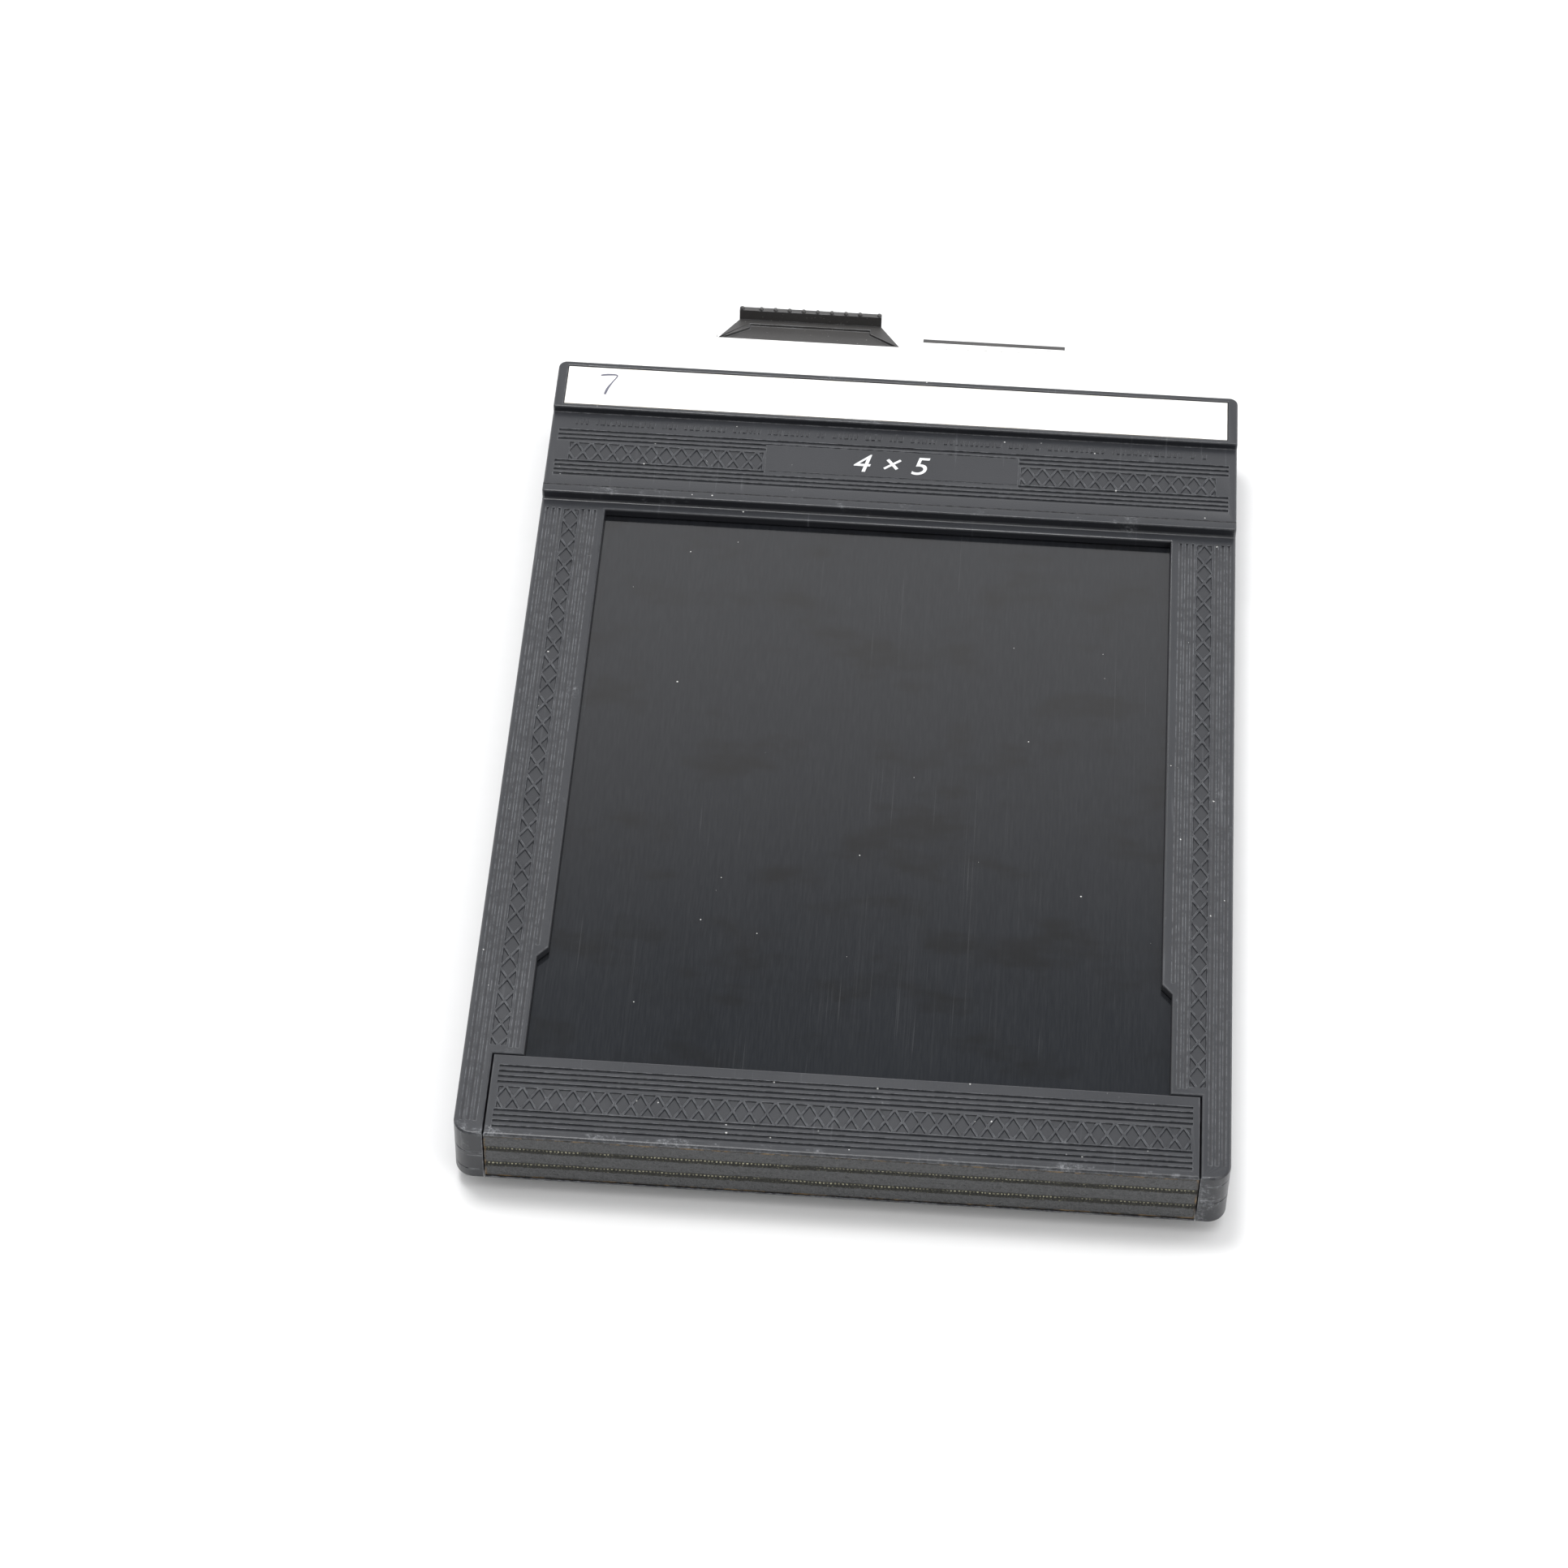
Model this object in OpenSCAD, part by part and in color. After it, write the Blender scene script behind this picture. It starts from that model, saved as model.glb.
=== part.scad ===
// Double-sided sheet film holder: two half frames round a divider, one dark slide
// and one loading flap to each side. Lengths run along Y from the flap end (y = 0)
// to the handle end, heights are counted from the middle plane of the holder, and
// the whole is set down with its origin under the middle of its outline.

/* [Film] */
// Width of the sheet of film
film_w = 100; // [50:0.5:220]
// Length of the sheet of film
film_l = 125.4; // [70:0.1:280]
// Film hidden under each long side of the window
film_lap_side = 1; // [0.6:0.1:2.5]
// Film hidden under each short side of the window
film_lap_end = 1.95; // [1:0.05:4]
// Depth from the rail face to the film, which lies on the divider
film_depth = 5; // [4.5:0.1:5.2]

/* [Frame] */
// Width of each side rail
rail_w = 11.25; // [9.5:0.05:20]
// Thickness of the holder over its rails
rail_t = 11.2; // [10.8:0.1:16]
// Plain strip between the window and the lock rib
sill_l = 1.95; // [1:0.05:6]
// Length of the raised section that carries the lock rib
mid_l = 20.2; // [18:0.1:40]
// Rise of that section above the rails
mid_rise = 1.5; // [0.6:0.1:3]
// Length of the end section that carries the writing strip
label_l = 11.7; // [9:0.1:25]
// Rise of the end section above the lock rib section
label_rise = 1.3; // [0.5:0.1:3]
// Radius of the upright corners at the flap end
corner_r = 3; // [0.5:0.1:4]
// Radius of the upright corners at the handle end
corner_top_r = 1.5; // [0.3:0.1:3]
// Width of the lock rib
rib_w = 1.9; // [1:0.1:4]
// Height of the lock rib
rib_h = 0.3; // [0.1:0.05:1]
// Extra width of the loading notch on each side
notch_w = 1.66; // [0.6:0.02:2.5]
// Length of the loading notch above the flap
notch_l = 20.4; // [8:0.1:40]
// Length of the slanted end of the loading notch
notch_run = 1.95; // [0.5:0.05:4]

/* [Name panel and writing strip] */
// Width of the smooth name panel
panel_w = 44; // [20:1:48]
// Height of the smooth name panel
panel_l = 6.4; // [3:0.1:8]
// Rise of the name panel
panel_rise = 0.12; // [0.05:0.01:0.3]
// Frame left on each side of the writing strip
label_side = 1.75; // [1:0.05:5]
// Frame left above the writing strip
label_top = 1.15; // [0.6:0.05:3]
// Frame left below the writing strip
label_foot = 0.95; // [0.6:0.05:3]
// Depth of the writing strip's recess
label_sink = 0.5; // [0.2:0.05:1]

/* [Dark slides] */
// Thickness of a dark slide's blade
blade_t = 0.9; // [0.5:0.05:1.2]
// Depth from the rail face to the blade
blade_depth = 1.6; // [1.3:0.05:2.2]
// Width of blade held in the groove of each rail
blade_lap = 5; // [3:0.1:6]
// Width of a slide's handle
handle_w = 115.4; // [60:0.1:240]
// Length of a slide's handle
handle_l = 13.7; // [9:0.1:30]
// Thickness of the white plate on the handle
face_t = 0.4; // [0.2:0.05:1]
// Depth from the middle plane to the inside of a handle
handle_in = 2.3; // [1.2:0.1:2.6]

/* [Finger tab] */
// Distance of the tab's middle from the holder's centre line
tab_x = 16.7; // [8:0.1:40]
// Width of the tab at its root
tab_root_w = 35.2; // [16:0.1:60]
// Width of the tab at its tip
tab_tip_w = 25.7; // [12:0.1:50]
// Length of the tab beyond the handle
tab_l = 6.1; // [3:0.1:15]
// Depth of the notch for the tab in the white plate
tab_notch = 1.6; // [0.5:0.1:4]
// Width of the notch for the tab in the white plate
tab_notch_w = 33; // [16:0.1:60]
// Height from the middle plane to the tab's inner face
tab_in = 0.3; // [0.2:0.05:1]
// Height from the middle plane to the tab's outer face
tab_out = 3; // [1.8:0.1:3.2]
// Width of the ridge along the tab's tip
ridge_w = 0.9; // [0.6:0.1:2]
// Height of the ridge above the tab's outer face
ridge_h = 2.2; // [0.8:0.1:4]
// Number of grip beads along the ridge
bead_n = 8; // [2:1:12]
// Distance between grip beads
bead_pitch = 2.55; // [1.5:0.05:3]
// Radius of a grip bead
bead_r = 0.45; // [0.2:0.05:0.8]
// Radius of the knob at each end of the ridge
knob_r = 0.45; // [0.2:0.05:0.8]

/* [Loading flaps] */
// Length of a flap, which is also where the window starts
flap_l = 16; // [13:0.1:30]
// Frame left beside a flap
flap_side = 4.7; // [4:0.05:8]
// Length of the flap's thick root
flap_root_l = 12; // [9:0.1:12.4]
// Thickness of the hinge cloth
cloth_t = 0.5; // [0.3:0.05:1]
// Opening angle at which a flap is drawn, for display only
flap_open = 0; // [0:5:110]
// Travel at which a slide is drawn, for display only
slide_out = 0; // [0:5:165]

/* [Inside] */
// Width of a film guide
guide_w = 4.1; // [3:0.1:5]
// Thickness of a film guide's lip
guide_t = 0.35; // [0.2:0.05:0.5]
// Gap for the film under a guide's lip
film_gap = 0.4; // [0.3:0.05:0.6]
// Length of the velvet in the light trap
velvet_l = 12; // [6:0.5:14]
// Thickness of the velvet
velvet_t = 0.6; // [0.3:0.05:0.8]
// Thickness of the light trap's leaf spring
spring_t = 0.25; // [0.15:0.05:0.4]
// Rise of the leaf spring's bow
spring_rise = 0.75; // [0.3:0.05:0.9]

/* [Clearances] */
// Gap between a blade and its groove
blade_gap = 0.15; // [0.1:0.05:0.3]
// Gap round a flap
flap_gap = 0.15; // [0.1:0.05:0.4]
// Gap round a piece that is bonded in
fit_gap = 0.1; // [0.05:0.05:0.2]
// Gap between a blade and the velvet or felt that seals it
seal_gap = 0.05; // [0.03:0.01:0.1]
// Gap between the handle and the frame
stop_gap = 0.3; // [0.1:0.1:1]

/* [Hidden] */
$fn = 48;

// Widths, counted from the centre line
window_x = film_w / 2 - film_lap_side;
body_x = window_x + rail_w;
notch_x = window_x + notch_w;
blade_x = window_x + blade_lap;
slot_x = blade_x + blade_gap + 0.05;
flap_seat_x = body_x - flap_side;
flap_x = flap_seat_x - flap_gap;
core_x = blade_x + 1;
pocket_x = core_x + fit_gap;
label_x = body_x - label_side;

// Lengths, counted from the flap end
window_y = flap_l;
window_top_y = window_y + film_l - 2 * film_lap_end;
mid_y = window_top_y + sill_l;
label_y = mid_y + mid_l;
body_y = label_y + label_l;
notch_y = window_y + notch_l;
blade_y = flap_root_l + 0.3;
film_stop_y = window_top_y + film_lap_end + 0.2;
handle_y = body_y + stop_gap;
handle_top_y = handle_y + handle_l;
tip_y = handle_top_y + tab_l;
trap_y = mid_y + (mid_l - velvet_l) / 2;
over = 1;

// Heights, counted from the middle plane
rail_h = rail_t / 2;
mid_h = rail_h + mid_rise;
label_h = mid_h + label_rise;
film_h = rail_h - film_depth;
blade_h = rail_h - blade_depth;
blade_foot_h = blade_h - blade_t;
slot_h = blade_h + blade_gap;
slot_foot_h = blade_foot_h - blade_gap;
spacer_h = slot_foot_h - fit_gap;
lip_h = film_h + film_gap;
guide_h = lip_h + guide_t;
hinge_h = rail_t / 6;
face_h = blade_h + 0.6;
handle_h = face_h - face_t;
trap_h = blade_h + seal_gap + velvet_t + spring_t + spring_rise + fit_gap;
felt_t = 0.4;
lip_foot_h = blade_h + seal_gap + felt_t;

// End bar: its thick root meets the hinge cloth, and it slopes to the divider
bar_root_h = hinge_h - 0.07;
bar_root_y = 4;
bar_tip_h = film_h + 0.1;
bar_tip_y = flap_root_l - 1.5;
tongue_x = 1.5;
tongue_h = 1.2;
tongue_y = [2, 6.5];

// Puts the middle plane at its height and the outline over the origin
module set_down() {
    translate([0, -tip_y / 2, label_h]) children();
}

// Turns a piece of the front side over onto the rear side
module turned() {
    rotate([0, 180, 0]) children();
}

// Box from its low and high corners
module block(low, high) {
    translate(low) cube(high - low);
}

// Box as wide on each side of the centre line
module bar(x, y0, y1, z0, z1) {
    block([-x, y0, z0], [x, y1, z1]);
}

// Both of a pair, one on each side of the centre line
module both_sides() {
    children();
    mirror([1, 0, 0]) children();
}

// Outline of the half frame, with its four upright corners rounded
module frame_outline() {
    translate([-body_x, corner_r]) square([2 * body_x, body_y - corner_r - corner_top_r]);
    translate([corner_r - body_x, 0]) square([2 * (body_x - corner_r), corner_r]);
    translate([corner_top_r - body_x, body_y - corner_top_r])
        square([2 * (body_x - corner_top_r), corner_top_r]);
    for (side = [-1, 1]) {
        translate([side * (body_x - corner_r), corner_r]) circle(corner_r);
        translate([side * (body_x - corner_top_r), body_y - corner_top_r]) circle(corner_top_r);
    }
}

// Window with the two loading notches beside the flap
module window_outline() {
    polygon([
        [-notch_x, window_y - over], [notch_x, window_y - over],
        [notch_x, notch_y], [window_x, notch_y + notch_run],
        [window_x, window_top_y], [-window_x, window_top_y],
        [-window_x, notch_y + notch_run], [-notch_x, notch_y]
    ]);
}

// Half frame of the front side; the rear one is the same moulding turned over
module half_frame() {
    difference() {
        union() {
            linear_extrude(rail_h) frame_outline();
            intersection() {
                linear_extrude(label_h + over) frame_outline();
                union() {
                    bar(body_x, mid_y, body_y, 0, mid_h);
                    bar(body_x, label_y, body_y, 0, label_h);
                    bar(body_x, mid_y, mid_y + rib_w, 0, mid_h + rib_h);
                    bar(panel_w / 2, label_y - 5.6 - panel_l, label_y - 5.6, 0, mid_h + panel_rise);
                }
            }
        }
        // window, from the middle plane out through the rail face
        translate([0, 0, -over]) linear_extrude(rail_h + 2 * over) window_outline();
        // seat of the flap: its lip, then its thick root down to the middle plane
        bar(flap_seat_x, -over, window_y + flap_gap, slot_h, rail_h + over);
        bar(flap_seat_x, -over, flap_root_l + flap_gap, -over, rail_h + over);
        // tongue of the end bar
        bar(flap_seat_x + tongue_x + fit_gap, tongue_y[0] - fit_gap, tongue_y[1] + fit_gap,
            -over, tongue_h + fit_gap);
        // groove of the dark slide, open at the handle end
        bar(slot_x, flap_root_l - over, body_y + over, slot_foot_h, slot_h);
        // room for the film, its guides and the divider
        bar(film_w / 2 + 0.35, flap_root_l - over, film_stop_y, -over, slot_h);
        bar(film_w / 2 + guide_w, notch_y + notch_run - fit_gap, film_stop_y, -over,
            guide_h + seal_gap);
        bar(pocket_x, flap_root_l - over, film_stop_y + over, -over, film_h + 0.03);
        // seat of the slot spacer
        bar(pocket_x, film_stop_y - fit_gap, body_y + over, -over, slot_foot_h + seal_gap);
        // light trap pocket
        bar(slot_x, trap_y - fit_gap, trap_y + velvet_l + fit_gap, slot_h - seal_gap, trap_h);
        // recess of the writing strip
        bar(label_x, label_y + label_foot, body_y - label_top, label_h - label_sink,
            label_h + over);
    }
}

module front_frame() {
    color("#3c3e43") set_down() half_frame();
}

module rear_frame() {
    color("#36383d") set_down() turned() half_frame();
}

// Painted metal divider that backs both films
module septum() {
    color("#1c1c1e") set_down()
        bar(core_x, bar_tip_y - 4, film_stop_y + 6, -film_h, film_h);
}

// Moulded bar that parts the two slide slots at the handle end
module slot_spacer() {
    color("#2c2d31") set_down() difference() {
        bar(core_x, film_stop_y, body_y, -spacer_h, spacer_h);
        bar(core_x + over, film_stop_y - over, film_stop_y + 6 + fit_gap,
            -film_h - 0.02, film_h + 0.02);
        for (side = [-1, 1])
            bar(core_x + over, trap_y - fit_gap, trap_y + velvet_l + fit_gap,
                side * spacer_h - velvet_t, side * spacer_h + velvet_t);
    }
}

// Bar between the two flaps, with its tongues held in the frame's corners
module end_bar() {
    color("#2c2d31") set_down() difference() {
        union() {
            translate([-flap_x, 0, 0]) rotate([90, 0, 90]) linear_extrude(2 * flap_x)
                polygon([
                    [cloth_t, -bar_root_h], [bar_root_y, -bar_root_h],
                    [bar_tip_y, -bar_tip_h], [bar_tip_y, bar_tip_h],
                    [bar_root_y, bar_root_h], [cloth_t, bar_root_h]
                ]);
            bar(flap_seat_x + tongue_x, tongue_y[0], tongue_y[1], -tongue_h, tongue_h);
        }
        bar(core_x + fit_gap, bar_tip_y - 4 - fit_gap, bar_tip_y + over,
            -film_h - 0.02, film_h + 0.02);
    }
}

// Metal channel that holds one long edge of a film against the divider
module guide() {
    edge_x = film_w / 2 + 0.25;
    foot_x = film_w / 2 + guide_w - fit_gap;
    tip_x = window_x - 0.2;
    translate([0, film_stop_y - fit_gap, 0]) rotate([90, 0, 0])
        linear_extrude(film_stop_y - notch_y - notch_run - fit_gap)
            polygon([
                [edge_x, film_h], [foot_x, film_h], [foot_x, guide_h],
                [tip_x, guide_h], [tip_x, lip_h], [edge_x, lip_h]
            ]);
}

module front_guide_left() {
    color("#8d9096") set_down() mirror([1, 0, 0]) guide();
}

module front_guide_right() {
    color("#8d9096") set_down() guide();
}

module rear_guide_left() {
    color("#8d9096") set_down() turned() guide();
}

module rear_guide_right() {
    color("#8d9096") set_down() turned() mirror([1, 0, 0]) guide();
}

// Velvet between the leaf spring and the outside of the blade
module velvet_outer() {
    foot_h = blade_h + seal_gap;
    bar(blade_x, trap_y, trap_y + velvet_l, foot_h, foot_h + velvet_t);
}

// Velvet set in the slot spacer, against the inside of the blade
module velvet_inner() {
    top_h = blade_foot_h - seal_gap;
    bar(blade_x, trap_y, trap_y + velvet_l, spacer_h - velvet_t, top_h);
}

module front_velvet_outer() {
    color("#101012") set_down() velvet_outer();
}

module front_velvet_inner() {
    color("#101012") set_down() velvet_inner();
}

module rear_velvet_outer() {
    color("#101012") set_down() turned() velvet_outer();
}

module rear_velvet_inner() {
    color("#101012") set_down() turned() velvet_inner();
}

// Bowed leaf spring: an arc strip whose two long edges press on the velvet
module trap_spring() {
    half = velvet_l / 2 - 0.5;
    bow_r = (half * half + spring_rise * spring_rise) / (2 * spring_rise);
    foot_h = blade_h + seal_gap + velvet_t;
    intersection() {
        bar(blade_x - 1, trap_y + 0.5, trap_y + velvet_l - 0.5, foot_h,
            foot_h + spring_rise + spring_t);
        translate([0, trap_y + velvet_l / 2, foot_h + spring_rise - bow_r]) rotate([0, 90, 0])
            difference() {
                cylinder(r = bow_r + spring_t, h = 2 * blade_x, center = true, $fn = 96);
                cylinder(r = bow_r, h = 2 * blade_x + over, center = true, $fn = 96);
            }
    }
}

module front_trap_spring() {
    color("#b08d57") set_down() trap_spring();
}

module rear_trap_spring() {
    color("#b08d57") set_down() turned() trap_spring();
}

// Matt white strip for pencil notes
module writing_strip() {
    bar(label_x - fit_gap, label_y + label_foot + fit_gap, body_y - label_top - fit_gap,
        label_h - label_sink, label_h - 0.12);
}

module front_writing_strip() {
    color("#f4f3ef") set_down() writing_strip();
}

module rear_writing_strip() {
    color("#f4f3ef") set_down() turned() writing_strip();
}

// Hinge cloth over the end bar, between its two folds
module hinge_cloth_centre() {
    color("#1b1b1c") set_down() bar(flap_x, 0, cloth_t, -bar_root_h, bar_root_h);
}

// Dark slide blade, from under the flap's lip to inside the handle
module blade() {
    bar(blade_x, blade_y, handle_top_y - 2, blade_foot_h, blade_h);
}

// Outline of the finger tab, from inside the handle to its tip
module tab_outline(inset) {
    root_y = handle_top_y - tab_notch;
    translate([-tab_x, 0]) polygon([
        [inset - tab_root_w / 2, root_y + inset], [tab_root_w / 2 - inset, root_y + inset],
        [tab_tip_w / 2 - inset, tip_y - ridge_w - inset], [tab_tip_w / 2 - inset, tip_y - inset],
        [inset - tab_tip_w / 2, tip_y - inset], [inset - tab_tip_w / 2, tip_y - ridge_w - inset]
    ]);
}

// Moulded handle with its finger tab, gripping the end of the blade
module handle() {
    root_y = handle_top_y - tab_notch;
    ridge_x = tab_tip_w / 2;
    difference() {
        union() {
            bar(handle_w / 2, handle_y, handle_top_y, handle_in, handle_h);
            translate([0, 0, tab_in]) linear_extrude(tab_out - tab_in) tab_outline(0);
            block([-tab_x - tab_root_w / 2, root_y - 4, tab_in],
                  [tab_root_w / 2 - tab_x, root_y + 0.01, tab_out]);
            block([-tab_x - ridge_x, tip_y - ridge_w, tab_in],
                  [ridge_x - tab_x, tip_y, tab_out + ridge_h]);
            for (i = [0 : bead_n - 1])
                translate([(i - (bead_n - 1) / 2) * bead_pitch - tab_x, tip_y - ridge_w / 2,
                           tab_out + ridge_h]) sphere(bead_r);
            for (side = [-1, 1])
                translate([side * (ridge_x - knob_r) - tab_x, tip_y - ridge_w / 2,
                           tab_out + ridge_h]) sphere(knob_r);
        }
        // slot that holds the blade
        bar(blade_x + 0.02, handle_y - over, handle_top_y - 2 + fit_gap, blade_foot_h - 0.02,
            blade_h + 0.02);
        // notch of the tab and its shallow finger dish
        translate([0, 0, tab_out]) linear_extrude(3)
            translate([-tab_x - tab_notch_w / 2, root_y])
                square([tab_notch_w, tab_l + tab_notch - ridge_w]);
        translate([0, 0, tab_out - 0.5]) linear_extrude(1) intersection() {
            tab_outline(2);
            translate([-tab_x - tab_root_w / 2, root_y - over])
                square([tab_root_w, tab_l + tab_notch + over - ridge_w - 0.6]);
        }
    }
}

// White plate on the outside of the handle, notched for the tab
module face_plate() {
    root_y = handle_top_y - tab_notch;
    dot_pitch = 3.13;
    difference() {
        bar(handle_w / 2, handle_y, handle_top_y, handle_h, face_h);
        block([-tab_x - tab_notch_w / 2, root_y, handle_h - over],
              [tab_notch_w / 2 - tab_x, handle_top_y + over, face_h + over]);
    }
    for (i = [0 : 5])
        translate([tab_x + (i - 2.5) * dot_pitch, handle_top_y - 1, face_h - 0.05])
            cylinder(r = 0.5, h = 0.25);
}

module pulled() {
    translate([0, slide_out, 0]) children();
}

module front_blade() {
    color("#202226") set_down() pulled() blade();
}

module front_handle() {
    color("#26262a") set_down() pulled() handle();
}

module front_face_plate() {
    color("#f2f2f0") set_down() pulled() face_plate();
}

module rear_blade() {
    color("#202226") set_down() turned() pulled() blade();
}

module rear_handle() {
    color("#26262a") set_down() turned() pulled() handle();
}

module rear_face_plate() {
    color("#f2f2f0") set_down() turned() pulled() face_plate();
}

// Turns a flap about the fold in its hinge cloth
module opened() {
    translate([0, 0, hinge_h]) rotate([flap_open, 0, 0]) translate([0, 0, -hinge_h]) children();
}

// Loading flap: a thick root on the hinge cloth and a lip over the blade's end
module flap() {
    gap_h = 0.15;
    translate([-flap_x, 0, 0]) rotate([90, 0, 90]) linear_extrude(2 * flap_x)
        polygon([
            [cloth_t, hinge_h + 0.08], [bar_root_y, hinge_h + 0.08],
            [bar_tip_y, bar_tip_h + gap_h], [flap_root_l, bar_tip_h + gap_h],
            [flap_root_l, lip_foot_h], [flap_l, lip_foot_h],
            [flap_l, rail_h], [cloth_t, rail_h]
        ]);
}

// Felt that seals the lip against the blade
module flap_felt() {
    bar(blade_x - 0.2, flap_root_l + 0.4, flap_l - 0.4, blade_h + seal_gap, lip_foot_h);
}

// Hinge cloth glued to a flap's end face
module hinge_cloth() {
    bar(flap_x, 0, cloth_t, hinge_h + 0.03, rail_h);
}

module front_flap() {
    color("#3f4146") set_down() opened() flap();
}

module front_flap_felt() {
    color("#101012") set_down() opened() flap_felt();
}

module front_hinge_cloth() {
    color("#1b1b1c") set_down() opened() hinge_cloth();
}

module rear_flap() {
    color("#3f4146") set_down() turned() opened() flap();
}

module rear_flap_felt() {
    color("#101012") set_down() turned() opened() flap_felt();
}

module rear_hinge_cloth() {
    color("#1b1b1c") set_down() turned() opened() hinge_cloth();
}

front_frame();
rear_frame();
septum();
slot_spacer();
end_bar();
front_guide_left();
front_guide_right();
rear_guide_left();
rear_guide_right();
front_velvet_outer();
front_velvet_inner();
rear_velvet_outer();
rear_velvet_inner();
front_trap_spring();
rear_trap_spring();
front_writing_strip();
rear_writing_strip();
hinge_cloth_centre();
front_blade();
front_handle();
front_face_plate();
rear_blade();
rear_handle();
rear_face_plate();
front_flap();
front_flap_felt();
front_hinge_cloth();
rear_flap();
rear_flap_felt();
rear_hinge_cloth();
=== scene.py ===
"""Looks of a double-sided sheet film holder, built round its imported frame."""

import math

import bmesh
import bpy
import mathutils
import numpy as np
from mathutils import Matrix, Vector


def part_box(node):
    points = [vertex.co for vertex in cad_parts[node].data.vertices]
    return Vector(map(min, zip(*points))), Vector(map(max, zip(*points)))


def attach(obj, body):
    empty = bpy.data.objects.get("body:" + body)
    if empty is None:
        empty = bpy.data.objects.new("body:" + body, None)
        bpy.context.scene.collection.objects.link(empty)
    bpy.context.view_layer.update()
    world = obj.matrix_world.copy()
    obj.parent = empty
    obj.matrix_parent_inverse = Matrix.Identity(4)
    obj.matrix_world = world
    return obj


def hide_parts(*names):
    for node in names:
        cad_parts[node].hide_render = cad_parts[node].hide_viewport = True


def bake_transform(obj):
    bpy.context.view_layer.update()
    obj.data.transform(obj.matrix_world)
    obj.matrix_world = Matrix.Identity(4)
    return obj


bl_info = {
    "name": "Sheet Film Holder",
    "version": (1, 0, 0),
    "blender": (4, 5, 0),
    "location": "View3D > Sidebar > Film Holder",
    "description": "Builds the mouldings, dark slides, hinge cloth and finishes of a film holder",
    "category": "Object",
}

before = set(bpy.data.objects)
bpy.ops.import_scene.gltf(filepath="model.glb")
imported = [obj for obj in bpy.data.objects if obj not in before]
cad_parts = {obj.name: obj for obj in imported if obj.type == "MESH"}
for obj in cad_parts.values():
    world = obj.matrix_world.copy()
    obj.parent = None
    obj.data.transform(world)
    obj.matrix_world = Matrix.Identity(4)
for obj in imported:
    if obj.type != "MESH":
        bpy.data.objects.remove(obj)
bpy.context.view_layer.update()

MM = 0.001
FRONT, REAR = 1, -1
SIDES = {"front": FRONT, "rear": REAR}

# Heights above the middle plane and lengths from the flap end, in millimetres,
# read from the frame
_frame_low, _frame_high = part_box("front_frame")
_flap_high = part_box("front_flap")[1]
_strip_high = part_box("front_writing_strip")[1]
MID_Z = _frame_low.z / MM
END_Y = _frame_low.y / MM
BODY_X = _frame_high.x / MM
BODY_Y = (_frame_high.y - _frame_low.y) / MM
LABEL_H = _frame_high.z / MM - MID_Z
RAIL_H = _flap_high.z / MM - MID_Z
STRIP_H = _strip_high.z / MM - MID_Z
FLAP_X = _flap_high.x / MM
FOLD_H = 2 * RAIL_H / 6
CORNER_R = 3.0
# Upper edge of the hinge cloth, under the lip of the flap
CLOTH_H = RAIL_H - 0.5
# How far the raised section and its lock rib stand above the rails
MID_LEVEL = 1.5
RIB_LEVEL = MID_LEVEL + 0.3
# The lock rib's place, and the name panel's half width, middle, ends and height
RIB_Y = (139.4, 141.4)
PANEL_X = 22.2
PANEL_Y = 150.8
PANEL_ENDS = (147, 154.5)
PANEL_RISE = 0.12
# How far the cutting shapes stand above the surface they cut
RISE = 0.03


# ---------------------------------------------------------------- sizes

class FilmHolderSizes(bpy.types.PropertyGroup):
    """Sizes of the moulded relief and the fine edges, in millimetres."""

    edge_round: bpy.props.FloatProperty(
        name="Edge Rounding", description="Rounding of the mouldings' outer edges",
        default=0.42, min=0.05, max=0.6)
    window_x: bpy.props.FloatProperty(
        name="Window Half Width", description="Centre line to the inner edge of a rail",
        default=49.0, min=20, max=110)
    groove_pitch: bpy.props.FloatProperty(
        name="Groove Pitch", description="Distance between neighbouring grooves",
        default=1.05, min=0.6, max=2)
    groove_depth: bpy.props.FloatProperty(
        name="Groove Depth", description="Depth of a groove", default=0.24, min=0.05, max=0.5)
    groove_width: bpy.props.FloatProperty(
        name="Groove Width", description="Width of a rail's groove at the surface",
        default=0.74, min=0.1, max=0.9)
    diamond_depth: bpy.props.FloatProperty(
        name="Diamond Depth", description="Depth of the diamond pockets",
        default=0.22, min=0.05, max=0.5)
    diamond_land: bpy.props.FloatProperty(
        name="Diamond Land", description="Width of the lands between diamond pockets",
        default=0.3, min=0.1, max=0.8)
    diamond_width: bpy.props.FloatProperty(
        name="Diamond Pitch Across", description="Pitch of the diamonds along a flap",
        default=2.64, min=1, max=5)
    diamond_length: bpy.props.FloatProperty(
        name="Diamond Pitch Along", description="Pitch of the diamonds along a rail",
        default=4.6, min=2, max=8)


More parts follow.
